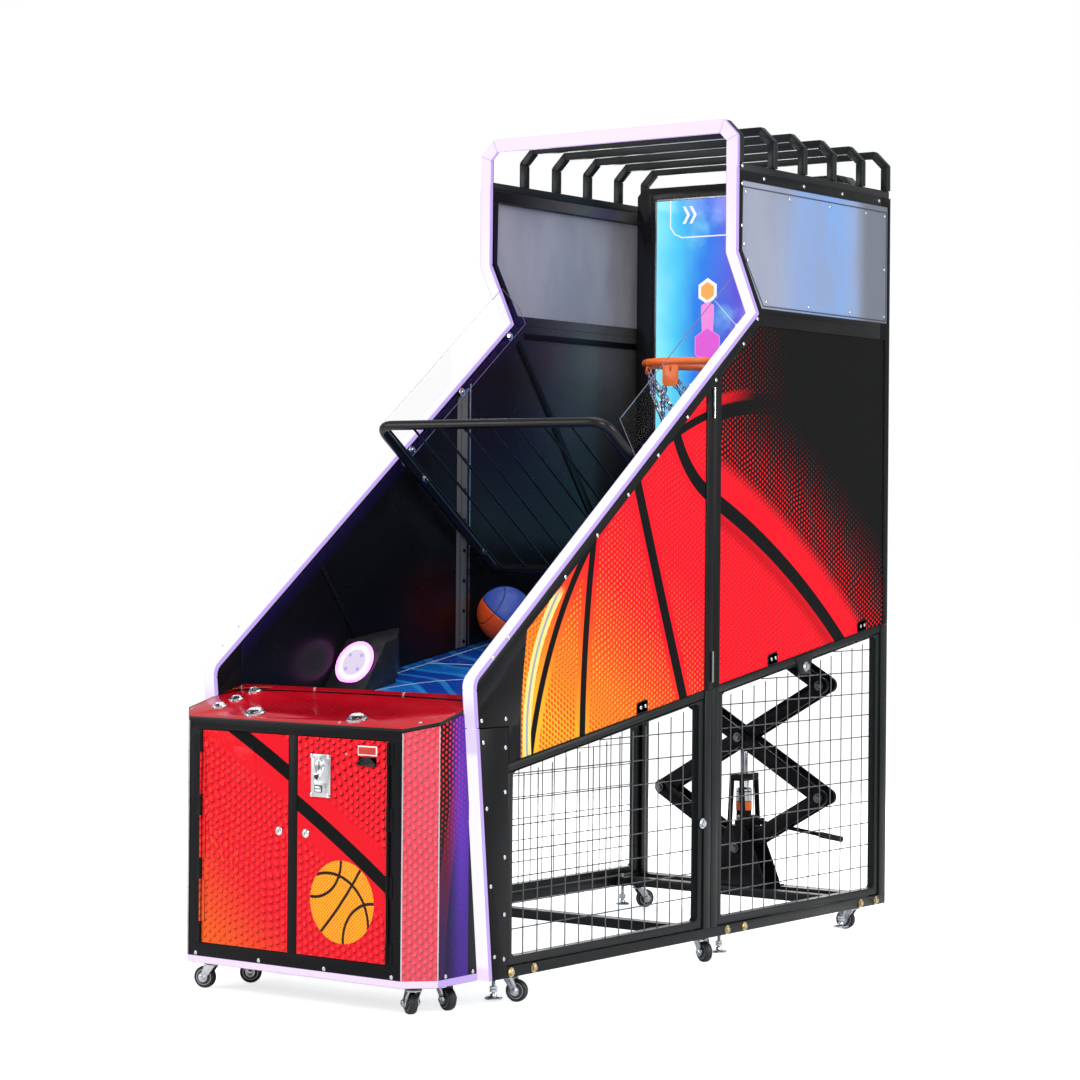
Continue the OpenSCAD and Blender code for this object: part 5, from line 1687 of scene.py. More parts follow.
@dataclass
class Basketball:
    """Size 3 ball with sunken seams and a valve."""

    groove: float = 0.0022
    seam: float = 0.0032
    small_circle: float = math.cos(math.radians(52))

    def build(self, stock: Stock) -> None:
        """Makes the ball in place of its CAD node."""
        low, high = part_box("basketball")
        centre, radius = (low + high) / 2, (high.z - low.z) / 2
        clear_selection()
        bpy.ops.mesh.primitive_ico_sphere_add(subdivisions=7, radius=radius, location=(0, 0, 0))
        ball = place_applied(bpy.context.object, "basketball_skin")
        aim = Vector((0.596, 0.203, 0.776)).normalized()
        turn = Vector((0, 0, 1)).rotation_difference(aim).to_matrix() @ Matrix.Rotation(math.radians(-38),
                3, "Z")
        back = turn.inverted()
        in_seam = []
        for vertex in ball.data.vertices:
            unit = back @ vertex.co.normalized()
            away = self.seam_distance(unit) * radius
            sunk = max(0.0, 1.0 - (away / self.seam) ** 2)
            vertex.co *= 1.0 - self.groove * sunk / radius
            in_seam.append(away < self.seam * 0.62)
        ball.data.transform(Matrix.Translation(centre))
        split = turn @ Vector((0, 0, 1))
        skin = BallSkin(centre=tuple(centre), split=tuple(split)).build()
        split_finish(ball, skin, stock.tyre, lambda face: all(in_seam[i] for i in face.vertices))
        eased(ball, 0.0)
        dress(ball, skin, "basketball", replaces=True)
        aim = turn @ Vector((0.62, -0.46, 0.64)).normalized()
        profile = [(0.0, -0.001), (0.004, -0.001), (0.0038, 0.0006), (0.0014, 0.0003), (0.0, -0.0003)]
        valve = turned("ball_valve", profile, centre + aim * (radius - 0.0006), aim, 16)
        dress(valve, stock.tyre, "basketball")

    def seam_distance(self, unit: Vector) -> float:
        """Returns the angle from a direction to the nearest seam, in radians."""
        flat = min(abs(unit.x), abs(unit.z))
        ring = abs(abs(unit.y) - self.small_circle) / math.sqrt(max(1e-6, 1 - self.small_circle ** 2))
        return min(flat, ring)


@dataclass
class Grille:
    """Bent tube guard above the ramp, with thin rods and its wall bosses."""

    stock: Stock
    tube_r: float = 0.015
    rod_r: float = 0.004
    rod_pitch: float = 0.1
    corner: float = 0.055

    def build(self) -> None:
        """Makes the tube with rounded bends, the rods and the bolts."""
        lay = LAYOUT
        y0, z0 = lay.portal_y - 0.599, lay.slope(lay.portal_y - 0.599) + 0.186
        y1, z1 = lay.portal_y + 0.001, z0 - 0.447
        x = lay.inner - 0.0124 - self.tube_r
        run = Vector((0, y1 - y0, z1 - z0)).normalized()
        bend = self.rounded(Vector((-x, y0, z0)), x, run)
        path = [Vector((-x, y1, z1))] + bend + [Vector((x, y1, z1))]
        loop = tube("grille_tube", [tuple(p) for p in path], self.tube_r, sides=6)
        rear = tube("grille_rear", [(-x, y1, z1), (x, y1, z1)], self.tube_r - 0.0004, sides=6)
        caps = [self.elbow(s.value * x, y1, z1) for s in Side]
        bars = rods("grille_rods",
                    [((i * self.rod_pitch, y0 + 0.003, z0 - 0.003),
                      (i * self.rod_pitch, y1 - 0.003, z1 + 0.003)) for i in range(-4, 5)], self.rod_r, 12)
        dress(bars, self.stock.frame_grey, "ball_grille")
        bosses, heads = [], []
        for side in Side:
            for t in (0.36, 0.88):
                y, z = y0 + (y1 - y0) * t, z0 + (z1 - z0) * t
                s = side.value
                profile = [(0.0, 0.0), (0.013, 0.0), (0.013, 0.017), (0.010, 0.0185), (0.0, 0.0185)]
                bosses.append(turned(f"boss_{side.name}_{t}", profile, (s * lay.inner, y, z),
                                     (-s, 0, 0), 24))
                heads.append(((s * (x - self.tube_r + 0.0012), y, z), (-s, 0, 0)))
        dress(merged("ball_grille_tube", [loop, rear, *caps, *bosses]), self.stock.satin, "ball_grille",
              replaces=True)
        fasten("grille_bolts", Fastener.BOLT, self.stock.chrome, "ball_grille", heads)

    def rounded(self, corner: Vector, x: float, run: Vector) -> list[Vector]:
        """Returns the front of the tube with two rounded bends, left to right."""
        points = []
        for side in (-1, 1):
            tip = Vector((side * x, corner.y, corner.z))
            along, across = tip + run * self.corner, tip + Vector((-side * self.corner, 0, 0))
            arc = []
            for step in range(9):
                t = step / 8
                arc.append(along * (1 - t) ** 2 + tip * 2 * t * (1 - t) + across * t ** 2)
            points += arc if side < 0 else arc[::-1]
        return points

    def elbow(self, x: float, y: float, z: float) -> Piece:
        """Models the rounded joint at a rear corner of the guard."""
        clear_selection()
        bpy.ops.mesh.primitive_uv_sphere_add(segments=20, ring_count=12, radius=self.tube_r,
                                             location=(x, y, z))
        return eased(place_applied(bpy.context.object, "grille_elbow"), 0.0)


@dataclass
class Guards:
    """Clear side guards on bolts, with a painted glow on their polished edges."""

    stock: Stock

    def build(self) -> None:
        """Makes both clear sheets and their bolts."""
        clear = ClearPlastic("guard_acrylic", (0.97, 0.97, 0.98), 0.0, 1.08).build()
        # Painted highlight: the polished edges glow by their own emission.
        edge = Glow("guard_edge_glow", (0.42, 0.42, 0.55), 0.30).build()
        sheet = refined("clear_guards", 0.0004, 1)
        split_finish(sheet, clear, edge,
                     lambda face: abs(face.normal.x) < 0.6 and face.area < 0.02
                     and abs(abs(face.center.x) - 0.449) < 0.0024)
        dress(sheet, clear, "clear_guards", replaces=True)
        lay = LAYOUT
        run = Vector((0, lay.corner_y - lay.knee_y, lay.corner_z - lay.knee_z)).normalized()
        out = Vector((0, run.z, -run.y))
        y = lay.portal_y - 0.550
        start = Vector((0, y, lay.slope(y) + 0.157 * 1.26 - 0.040))
        heads = []
        for side in Side:
            for t in (0.060, 0.380, 0.700):
                spot = start + run * t + out * 0.148
                heads.append(((side.value * (lay.inner - 0.0112), spot.y, spot.z), (-side.value, 0, 0)))
        fasten("guard_bolts", Fastener.BOLT, self.stock.chrome, "clear_guards", heads)


@dataclass(frozen=True)
class LampRing(Finish):
    """Coloured light round a lamp's rim: magenta, turning blue at the lower rear."""

    name: str = "lamp_ring"

    def draw(self, g: Graph) -> None:
        """Draws the finish."""
        blue = g.mul(g.step(g.z, 0.865, 0.905, 1.0, 0.0), g.step(g.y, -0.53, -0.50))
        art = g.mix(blue, (0.85, 0.10, 0.80), (0.10, 0.22, 0.95))
        g.set(Base_Color=(0.5, 0.4, 0.6), Roughness=0.4, Emission_Color=art)
        g.shader.inputs["Emission Strength"].default_value = 4.0


@dataclass
class Pods:
    """Speaker pods beside the ramp with round lamps."""

    stock: Stock
    lamp_r: float = 0.071

    def build(self) -> None:
        """Makes the pods and their lamps."""
        body = refined("speaker_pods", 0.0020)
        dress(body, Rubber("pod_shell", (0.014, 0.014, 0.016), 0.42).build(), "speaker_pods", replaces=True)
        lay = LAYOUT
        y = lay.portal_y - 0.793 + 0.032
        z = lay.ramp(lay.portal_y - 0.793) + 0.082
        aim = Matrix.Rotation(math.radians(63), 3, "X") @ Vector((0, 0, 1))
        white = Glow("lamp_white", (1.0, 0.92, 1.0), 1.05).build()
        centre = Glow("lamp_centre", (0.82, 0.72, 0.93), 0.95).build()
        ring = LampRing().build()
        for side in Side:
            seat = Vector((side.value * 0.378, y, z))
            r = self.lamp_r
            rim = turned(f"lamp_ring_{side.name}",
                         [(r * 0.84, 0.0066), (r - 0.0004, 0.0066), (r - 0.0004, 0.0078),
                          (r * 0.92, 0.0088), (r * 0.84, 0.0088)], seat, aim, 56)
            disc = turned(f"lamp_disc_{side.name}",
                          [(r * 0.60, 0.0074), (r * 0.842, 0.0074), (r * 0.842, 0.0089),
                           (r * 0.60, 0.0096)], seat, aim, 56)
            eye = turned(f"lamp_eye_{side.name}",
                         [(0.0, 0.0074), (r * 0.602, 0.0074), (r * 0.602, 0.0092), (0.0, 0.0100)],
                         seat, aim, 48)
            for part, finish in ((rim, ring), (disc, white), (eye, centre)):
                part.data.materials.append(finish)
            dress(merged(f"lamp_{side.name.lower()}", [rim, disc, eye]), white, "speaker_pods")
            turn = Vector((0, 0, 1)).rotation_difference(aim).to_matrix()
            spots = []
            for k in range(4):
                angle = math.radians(45 + 90 * k)
                spots.append((seat + aim * 0.0092 + turn @ Vector((math.cos(angle), math.sin(angle), 0))
                              * r * 0.46, aim))
            small = [(tuple(seat_point), tuple(out)) for seat_point, out in spots]
            # Painted light: the screws on the lamp face glow with the strips' violet light.
            fasten(f"lamp_screws_{side.name.lower()}", Fastener.PAN, self.stock.violet_glow,
                   "speaker_pods", small)


# ---------------------------------------------------------------- display, hoop and net


@dataclass
class Display:
    """Upright screen in its housing, with its lit picture."""

    stock: Stock
    picture: ScreenPicture = ScreenPicture()

    def build(self) -> None:
        """Makes the housing, the bezel trims, the picture and its plain figures."""
        dress(refined("display_housing", 0.0022), self.stock.satin, "display_housing", replaces=True)
        low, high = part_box("display_screen")
        glass = refined("display_screen", 0.0008, 1)
        dress(glass, self.picture.build(), "display_screen", replaces=True)
        y = low.y
        rails = []
        for x0, x1, z0, z1 in ((low.x, low.x + 0.007, low.z, high.z),
                               (high.x - 0.007, high.x, low.z, high.z),
                               (low.x, high.x, low.z, low.z + 0.007),
                               (low.x, high.x, high.z - 0.007, high.z)):
            rails.append(block("bezel_rail", (x0, y - 0.0016, z0), (x1, y + 0.002, z1), 0.0007))
        dress(merged("screen_bezel", rails), Metal("bezel_silver", (0.52, 0.55, 0.62), 0.25).build(),
              "display_housing")
        self.figures(y - 0.0006)
        frame_line = []
        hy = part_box("display_housing")[0].y
        for s in (-1, 1):
            frame_line.append(block(f"housing_step_{s}", (s * 0.352 - 0.004, hy - 0.0030, low.z - 0.03),
                                    (s * 0.352 + 0.004, hy + 0.0005, high.z + 0.012), 0.0012))
        dress(merged("housing_steps", frame_line), self.stock.frame_grey, "display_housing")

    def figures(self, y: float) -> None:
        """Adds the plain figures of the picture: a header box, chevrons, hexagons and a bar."""
        white = Glow("figure_white", (0.95, 0.97, 1.0), 1.0).build()
        pink = Glow("figure_pink", (0.80, 0.12, 0.72), 1.0).build()
        rose = Glow("figure_rose", (0.95, 0.30, 0.80), 1.0).build()
        header = self.loop_line("header_box",
                                [(-0.276, 2.463), (-0.276, 2.372), (-0.258, 2.348), (-0.228, 2.335),
                                 (0.228, 2.335),
                                               (0.258, 2.348), (0.276, 2.372), (0.276, 2.463)], y,
                                0.0042, False)
        arrows = []
        for index, x in enumerate((-0.214, -0.186, 0.186, 0.214)):
            s = -1 if x > 0 else 1
            z = 2.412
            corners = [(x - s * 0.012, z + 0.030), (x + s * 0.0, z + 0.030), (x + s * 0.018, z),
                       (x, z - 0.030), (x - s * 0.012, z - 0.030), (x + s * 0.006, z)]
            arrows.append(outline(f"chevron_{index}", corners, "xz", y - 0.0002, y + 0.0002))
        plain = merged("screen_header", [header, *arrows])
        dress(plain, white, "display_screen")
        m = -0.121
        dress(self.hexagon("badge_high", m, 2.146, 0.043, y), white, "display_screen")
        amber = Glow("figure_amber", (0.95, 0.45, 0.12), 1.0).build()
        dress(self.hexagon("badge_mark", m, 2.146, 0.030, y - 0.0004), amber, "display_screen")
        tag = [(m - 0.026, 2.060), (m + 0.026, 2.060), (m + 0.026, 2.098), (m, 2.110), (m - 0.026, 2.098)]
        dress(outline("badge_bar", tag, "xz", y, y + 0.0003), rose, "display_screen")
        stem = [(m - 0.022, 1.995), (m + 0.022, 1.995), (m + 0.026, 2.060), (m - 0.026, 2.060)]
        dress(outline("badge_stem", stem, "xz", y, y + 0.0003), rose, "display_screen")
        dress(self.hexagon("badge_low", m, 1.960, 0.058, y - 0.0003), pink, "display_screen")
        rim = self.loop_line("badge_rim", self.hexagon_points(m, 1.960, 0.057), y - 0.0006, 0.0028, True)
        dress(rim, rose, "display_screen")

    @staticmethod
    def hexagon_points(x: float, z: float, r: float) -> list[Point2]:
        """Returns the corners of a hexagon that stands on a point."""
        return [(x + r * math.sin(math.radians(60 * k)), z + r * 1.05 * math.cos(math.radians(60 * k)))
                for k in range(6)]

    def hexagon(self, name: str, x: float, z: float, r: float, y: float) -> Piece:
        """Models a thin hexagon plate on the picture."""
        return outline(name, self.hexagon_points(x, z, r), "xz", y, y + 0.0003)

    @staticmethod
    def loop_line(name: str, points: list[Point2], y: float, width: float, closed: bool) -> Piece:
        """Models a thin flat line through points on the picture."""
        pairs = list(zip(points, points[1:] + points[:1] if closed else points[1:]))
        bars = []
        for index, ((ax, az), (bx, bz)) in enumerate(pairs):
            run = Vector((bx - ax, 0, bz - az))
            side = Vector((-run.z, 0, run.x)).normalized() * width / 2
            tip = run.normalized() * width * 0.3
            start, end = Vector((ax, y, az)) - tip, Vector((bx, y, bz)) + tip
            corners = [start - side, end - side, end + side, start + side]
            bars.append(outline(f"{name}_{index}", [(c.x, c.z) for c in corners], "xz", y - 0.0002,
                                y + 0.0002))
        return merged(name, bars)


@dataclass
class Hoop:
    """Orange rim with hooks, its bracket and sensor plate, and the chain net."""

    stock: Stock
    radius: float = 0.188
    tube_r: float = 0.0125
    height: float = 1.882
    hooks: int = 10
    link_long: float = 0.0165
    link_wide: float = 0.0066
    link_wire: float = 0.0021

    def build(self) -> None:
        """Makes the rim, its fittings and the net."""
        self.centre = Vector((0, LAYOUT.rear - 0.165 - self.radius - 0.027, 0))
        self.make_rim()
        self.make_net()

    def make_rim(self) -> None:
        """Makes the rim tube, bracket arms, mount plate, sensor plate and hooks."""
        c, r, z = self.centre, self.radius, self.height
        clear_selection()
        bpy.ops.mesh.primitive_torus_add(location=(c.x, c.y, z), major_radius=r, minor_radius=self.tube_r,
                                         major_segments=96, minor_segments=20)
        ring = place_applied(bpy.context.object, "rim_ring")
        wall = LAYOUT.rear - 0.165
        plate = block("rim_plate", (-0.075, wall - 0.006, z - 0.095),
                      (0.075, wall + 0.0018, z + 0.025), 0.0030)
        arms = [block("rim_arm", (s * 0.050 - 0.005, c.y + r - 0.014, z - 0.008),
                      (s * 0.050 + 0.005, wall - 0.0055, z + 0.008), 0.0024) for s in (-1, 1)]
        with editing(plate):
            pick_faces(plate, lambda face: face.normal.y < -0.95 and face.calc_area() > 0.004)
            bpy.ops.mesh.inset(thickness=0.008)
            bpy.ops.mesh.extrude_region_move(TRANSFORM_OT_translate={"value": (0, -0.0012, 0)})
        sensor = outline("sensor_plate",
                         [(-0.031, z - 0.006), (-0.031, z - 0.072), (-0.021, z - 0.082),
                          (0.021, z - 0.082), (0.031, z - 0.072), (0.031, z - 0.006)],
                         "xz", c.y - r - 0.003, c.y - r + 0.0016)
        eased(sensor, 0.0014)
        hooks = []
        for k in range(self.hooks):
            a = math.radians(360 / self.hooks * k + 18)
            out = Vector((math.cos(a), math.sin(a), 0))
            path = []
            for step in range(13):
                t = math.radians(-100 + step * 26)
                path.append(c + out * (r - 0.001 + 0.0085 * math.sin(t))
                            + Vector((0, 0, z - 0.0225 - 0.0105 * math.cos(t))))
            path.insert(0, c + out * (r - 0.002) + Vector((0, 0, z - 0.010)))
            hooks.append(tube(f"hook_{k}", [tuple(p) for p in path], 0.0026, sides=2))
        dress(merged("hoop_rim_steel", [ring, plate, *arms, sensor, *hooks]), self.stock.orange,
              "hoop_rim", replaces=True)
        spots = [((x, wall - 0.0062, zz), TO_PLAYER) for x in (-0.062, 0.062)
                 for zz in (z - 0.082, z + 0.013)]
        fasten("rim_plate_bolts", Fastener.BOLT, self.stock.zinc, "hoop_rim", spots)

    def link(self) -> Piece:
        """Models one stretched chain link along Z, centred on the origin."""
        half, wide = self.link_long - self.link_wide, self.link_wide
        path = []
        for end in (1, -1):
            for step in range(5):
                a = math.radians(45 * step) if end > 0 else math.radians(180 + 45 * step)
                path.append((wide * math.cos(a), 0.0, end * half + wide * math.sin(a)))
        return tube("link", path, self.link_wire, closed=True, sides=1)

    def make_net(self) -> None:
        """Makes the net: chains that zigzag down from the hooks and meet in rings of knots."""
        rng = random.Random(7)
        rows = [(self.radius - 0.003, self.height - 0.036), (0.163, 1.776), (0.137, 1.700),
                (0.124, 1.635), (0.1215, 1.588)]
        places = []
        pitch = (self.link_long - self.link_wire) * 1.72
        for row in range(len(rows) - 1):
            for k in range(self.hooks):
                for shift in (-0.5, 0.5):
                    start = self.knot(rows[row], k + 0.5 * (row % 2))
                    end = self.knot(rows[row + 1], k + 0.5 * (row % 2) + shift)
                    places += self.chain(start, end, pitch, rng)
        net = copies("chain_net_links", self.link(), places)
        eased(net, 0.0)
        dress(net, Metal("chain_steel", (0.66, 0.68, 0.72), 0.16, 0.05).build(), "chain_net", replaces=True)

    def knot(self, row: Point2, index: float) -> Vector:
        """Returns where a knot of the net is."""
        radius, z = row
        a = math.radians(360 / self.hooks * index + 18)
        return self.centre + Vector((radius * math.cos(a), radius * math.sin(a), z))

    @staticmethod
    def chain(start: Vector, end: Vector, pitch: float, rng: random.Random) -> list[Matrix]:
        """Returns the places of the links of one short chain."""
        run = end - start
        count = max(2, round(run.length / pitch))
        places = []
        for index in range(count):
            spot = start + run * ((index + 0.5) / count)
            roll = math.radians(90 * (index % 2) + rng.uniform(-14, 14))
            places.append(facing(spot, run, roll))
        return places


# ---------------------------------------------------------------- lift, casters and feet


@dataclass
class Lift:
    """Bolts and jack fittings of the service lift."""

    stock: Stock
    half_arm: float = 0.371
    angle: float = math.radians(30.5)
    base_z: float = 0.244

    def build(self) -> None:
        """Adds the pin nuts on each arm, the jack's fittings and the pump handle."""
        run, rise = self.half_arm * math.cos(self.angle), self.half_arm * math.sin(self.angle)
        pins = {
            "arm_lower_left": (-run, self.base_z + rise), "arm_lower_right": (run, self.base_z + rise),
            "arm_cross_b": (-run, self.base_z + 3 * rise), "jack_base": (0.0, self.base_z),
            "upper_frame": (0.0, self.base_z + 4 * rise),
        }
        y = LAYOUT.lift_y
        for node, (x, z) in pins.items():
            reach = 0.058 if node in ("jack_base", "upper_frame") else 0.046
            spots = [((x, y + s * reach, z), (0, s, 0)) for s in (-1, 1)]
            fasten(node + "_pin_nuts", Fastener.BIG_BOLT, self.stock.dull, node, spots)
        cross = [((x, y + s * 0.046, z), (0, s, 0)) for x,
                 z in ((run, self.base_z + 3 * rise), (0.0, self.base_z + 2 * rise)) for s in (-1, 1)]
        fasten("arm_cross_a_pin_nuts", Fastener.BIG_BOLT, self.stock.dull, "arm_cross_a", cross)
        self.jack()

    def jack(self) -> None:
        """Adds the jack's collar, filler plug and pump lever, and dresses the handle."""
        y, top = LAYOUT.lift_y, self.base_z + 0.076
        collar = turned("jack_collar",
                        [(0.0135, 0.0), (0.027, 0.0), (0.027, 0.006), (0.020, 0.012), (0.0135, 0.012)],
                        (0, y, top + 0.1157), (0, 0, 1), 32)
        dress(collar, self.stock.zinc, "jack_base")
        band = turned("jack_band", [(0.0261, 0.0), (0.0275, 0.0), (0.0275, 0.030), (0.0261, 0.030)],
                      (0, y, top + 0.050), (0, 0, 1), 40)
        dress(band, self.stock.orange, "jack_base")
        sleeve = turned("jack_sleeve", [(0.0261, 0.0), (0.0270, 0.0), (0.0270, 0.030), (0.0261, 0.030)],
                        (0, y, top + 0.082), (0, 0, 1), 40)
        dress(sleeve, self.stock.alloy, "jack_base")
        plug = turned("filler_plug",
                      [(0.0, 0.0), (0.006, 0.0), (0.006, 0.005), (0.004, 0.007), (0.0, 0.007)],
                      (0.0, y - 0.0262, top + 0.03), TO_PLAYER, 16)
        dress(plug, self.stock.brass, "jack_base")
        handle = refined("jack_handle", 0.0010)
        dress(handle, self.stock.black, "jack_handle", replaces=True)
        start, end = Vector((0.062, y, top + 0.014)), Vector((0.390, y, top - 0.024))
        run = (end - start).normalized()
        profile = [(0.0071, 0.0), (0.0098, 0.0), (0.0105, 0.004), (0.0098, 0.085), (0.0070, 0.0868),
                   (0.0071, 0.084)]
        dress(turned("handle_grip", profile, end - run * 0.0865, run, 24), self.stock.grip, "jack_handle")


@dataclass
class RunningGear:
    """Ten swivel casters and the six levelling feet."""

    stock: Stock
    wheel_r: float = 0.032

    def build(self) -> None:
        """Makes every fork, wheel and foot."""
        for joint in frame["joints"]:
            name = joint["name"]
            if name.startswith("caster_") and name.endswith("_roll"):
                number = name.split("_")[1]
                turn = next(j for j in frame["joints"] if j["name"] == f"caster_{number}_turn")
                self.caster(number, Vector(turn["pos_m"]), Vector(joint["pos_m"]), Vector(joint["axis"]))
        self.feet()

    def caster(self, number: str, pivot: Vector, axle: Vector, axis: Vector) -> None:
        """Makes one caster: bright fork with its race and axle nuts, tyre and hub."""
        fork = refined("caster_swivel_" + number, 0.0009)
        race = turned("race", [(0.0125, 0.0), (0.0232, 0.0), (0.0240, 0.0022), (0.0232, 0.0046),
                               (0.0125, 0.0046)], (pivot.x, pivot.y, 0.0674), (0, 0, 1), 32)
        nuts = copies("axle_nuts", Fastener.BOLT.model(),
                      [facing(axle + axis * s * 0.0185, axis * s) for s in (-1, 1)])
        dress(merged("caster_fork_" + number, [fork, race, nuts]), self.stock.zinc,
              "caster_swivel_" + number, replaces=True)
        r = self.wheel_r
        tread = [(0.0205, -0.010), (0.027, -0.0118), (r - 0.0024, -0.0106), (r - 0.0004, -0.0066),
                 (r, 0.0), (r - 0.0004, 0.0066), (r - 0.0024, 0.0106), (0.027, 0.0118), (0.0205, 0.010)]
        tyre = turned("tyre", tread, axle, axis, 56)
        tyre.data.materials.append(self.stock.tyre)
        core = [(0.0041, -0.0150), (0.0105, -0.0150), (0.0115, -0.0095), (0.0172, -0.0088),
                (0.0184, -0.0108), (0.0207, -0.0108),
                (0.0207, 0.0108), (0.0184, 0.0108), (0.0172, 0.0088), (0.0115, 0.0095), (0.0105, 0.0150),
                (0.0041, 0.0150)]
        hub = turned("hub", core, axle, axis, 40)
        hub.data.materials.append(self.stock.hub)
        line = turned("hub_line",
                      [(0.0212, -0.0121), (0.0226, -0.0121), (0.0226, 0.0121), (0.0212, 0.0121)], axle,
                      axis, 40)
        line.data.materials.append(self.stock.alloy)
        dress(merged("caster_tyre_" + number, [tyre, hub, line]), self.stock.tyre,
              "caster_wheel_" + number, replaces=True)

    def feet(self) -> None:
        """Makes the six feet with turned pads, lock nuts and threaded studs."""
        parts = []
        for s in (-1, 1):
            for index, y in enumerate((LAYOUT.column_y + 0.018, LAYOUT.post_y + 0.142,
                                       LAYOUT.rear - 0.185)):
                spot = (s * 0.44, y, 0.018)
                pad = [(0.0, 0.0), (0.0225, 0.0), (0.025, 0.0012), (0.025, 0.0045), (0.0210, 0.0070),
                       (0.0105, 0.0095), (0.0085, 0.016), (0.0, 0.016)]
                parts.append(turned(f"pad_{s}_{index}", pad, spot, (0, 0, 1), 36))
                parts.append(self.stud(f"stud_{s}_{index}", Vector(spot)))
                for nut_z in (0.0385, 0.0470):
                    clear_selection()
                    bpy.ops.mesh.primitive_cylinder_add(vertices=6, radius=0.0112, depth=0.0072,
                                                        location=(spot[0], y, nut_z + 0.0036))
                    parts.append(eased(place_applied(bpy.context.object, "foot_nut"), 0.0007))
        dress(merged("levelling_foot_set", parts), self.stock.zinc, "levelling_feet", replaces=True)

    @staticmethod
    def stud(name: str, spot: Vector) -> Piece:
        """Models a threaded stud as a stack of fine ridges."""
        top, bottom, pitch = LAYOUT.gap + 0.030 + 0.0135, spot.z + 0.014, 0.0020
        profile = [(0.0, bottom)]
        z = bottom
        while z < top - pitch:
            profile += [(0.0046, z), (0.0055, z + pitch / 2)]
            z += pitch
        profile += [(0.0046, z), (0.0, z)]
        return turned(name, profile, (spot.x, spot.y, 0), (0, 0, 1), 16)


# ---------------------------------------------------------------- studio


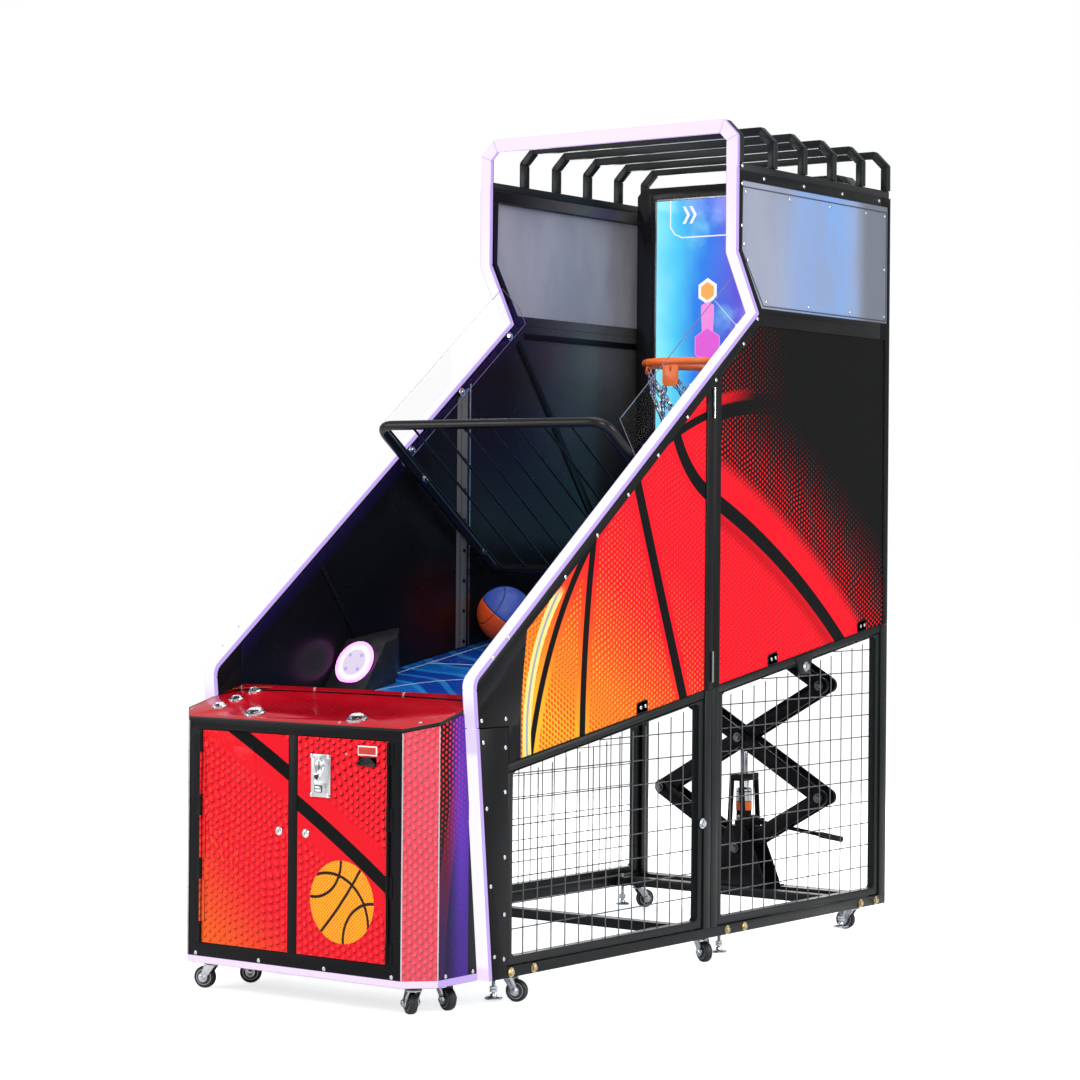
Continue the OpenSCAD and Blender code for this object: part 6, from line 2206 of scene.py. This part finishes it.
@dataclass(frozen=True)
class Studio:
    """Camera, soft lights, pale floor and pale surroundings."""

    eye: tuple[float, float, float] = (5.3275, -7.2786, 1.335)
    azimuth: float = math.radians(36.38)
    pitch: float = math.radians(0.08)
    roll: float = math.radians(0.48)
    lens: float = 96.62
    shift: Point2 = (-0.0030, -0.01657)
    surroundings: float = 0.5

    def build(self) -> None:
        """Sets up the whole studio."""
        self.camera()
        self.lights()
        self.floor()
        self.world()
        bpy.context.scene.view_settings.view_transform = "Standard"

    def camera(self) -> None:
        """Makes the scene's camera."""
        bpy.ops.object.camera_add(location=self.eye)
        camera = bpy.context.object
        ahead = Vector((-math.sin(self.azimuth) * math.cos(self.pitch),
                        math.cos(self.azimuth) * math.cos(self.pitch), math.sin(self.pitch)))
        right = ahead.cross(Vector((0, 0, 1))).normalized()
        up = right.cross(ahead)
        turned_right = right * math.cos(self.roll) + up * math.sin(self.roll)
        turned_up = up * math.cos(self.roll) - right * math.sin(self.roll)
        camera.rotation_euler = Matrix((turned_right, turned_up, -ahead)).transposed().to_euler()
        camera.data.lens = self.lens
        camera.data.sensor_width = 36.0
        camera.data.shift_x, camera.data.shift_y = self.shift
        camera.data.clip_end = 60.0
        bpy.context.scene.camera = camera

    def lights(self) -> None:
        """Makes the large soft lights."""
        soft = (
            ("key", (3.8, -4.6, 3.6), (0.0, -0.2, 1.1), 3.2, 210.0),
            ("fill", (-3.6, -4.4, 2.6), (0.0, -0.3, 1.1), 3.0, 110.0),
            ("side", (4.6, 1.6, 2.6), (0.3, 0.3, 1.2), 2.6, 120.0),
            ("top", (0.0, 0.4, 5.2), (0.0, 0.2, 1.0), 3.4, 90.0),
            ("rear", (-2.4, 4.6, 2.6), (0.0, 0.6, 1.2), 2.6, 90.0),
        )
        for name, place, target, size, power in soft:
            aim = (Vector(target) - Vector(place)).to_track_quat("-Z", "Y").to_euler()
            bpy.ops.object.light_add(type="AREA", location=place, rotation=aim)
            lamp = bpy.context.object
            lamp.name = name + "_light"
            lamp.data.size = size
            lamp.data.energy = power

    def floor(self) -> None:
        """Makes the pale floor, which the camera sees as white apart from the shadow."""
        clear_selection()
        bpy.ops.mesh.primitive_plane_add(size=60.0, location=(0, 0, 0))
        floor = place_applied(bpy.context.object, "floor")
        g = Graph("pale_floor")
        g.set(Base_Color=g.mix(g.noise(0.6), (0.93, 0.93, 0.94), (0.90, 0.90, 0.91)), Roughness=0.9)
        g.shader.inputs["Specular IOR Level"].default_value = 0.1
        path = g.tree.nodes.new("ShaderNodeLightPath")
        seen = g.math("MAXIMUM", path.outputs["Is Camera Ray"], path.outputs["Is Transmission Ray"])
        white = g.tree.nodes.new("ShaderNodeEmission")
        white.inputs["Strength"].default_value = 0.72
        add = g.tree.nodes.new("ShaderNodeAddShader")
        blend = g.tree.nodes.new("ShaderNodeMixShader")
        g.tree.links.new(g.shader.outputs[0], add.inputs[0])
        g.tree.links.new(white.outputs[0], add.inputs[1])
        g.tree.links.new(seen, blend.inputs[0])
        g.tree.links.new(g.shader.outputs[0], blend.inputs[1])
        g.tree.links.new(add.outputs[0], blend.inputs[2])
        g.tree.links.new(blend.outputs[0], g.tree.nodes["Material Output"].inputs["Surface"])
        floor.data.materials.append(g.material)

    def world(self) -> None:
        """Makes the surroundings: plain light, and white where they are seen."""
        world = bpy.data.worlds.new("surroundings")
        bpy.context.scene.world = world
        world.use_nodes = True
        tree = world.node_tree
        plain = tree.nodes["Background"]
        plain.inputs["Color"].default_value = (1.0, 1.0, 1.0, 1.0)
        plain.inputs["Strength"].default_value = self.surroundings
        seen = tree.nodes.new("ShaderNodeBackground")
        seen.inputs["Color"].default_value = (1.0, 1.0, 1.0, 1.0)
        path = tree.nodes.new("ShaderNodeLightPath")
        either = tree.nodes.new("ShaderNodeMath")
        either.operation = "MAXIMUM"
        tree.links.new(path.outputs["Is Camera Ray"], either.inputs[0])
        tree.links.new(path.outputs["Is Transmission Ray"], either.inputs[1])
        blend = tree.nodes.new("ShaderNodeMixShader")
        tree.links.new(either.outputs[0], blend.inputs[0])
        tree.links.new(plain.outputs[0], blend.inputs[1])
        tree.links.new(seen.outputs[0], blend.inputs[2])
        tree.links.new(blend.outputs[0], tree.nodes["World Output"].inputs["Surface"])


def main() -> None:
    """Builds every sub-assembly in order, then the studio."""
    Studio().build()
    stock = Stock()
    for assembly in (Structure(stock), WallFaces(stock), LightStrips(stock), MeshBay(stock),
                     Cabinet(stock), Deck(stock),
                     Ramp(stock), Grille(stock), Guards(stock), Pods(stock), Display(stock),
                     Hoop(stock), Lift(stock),
                     RunningGear(stock)):
        assembly.build()
        LOG.info("%s done", type(assembly).__name__)
    Basketball().build(stock)


if __name__ == "__main__":
    main()
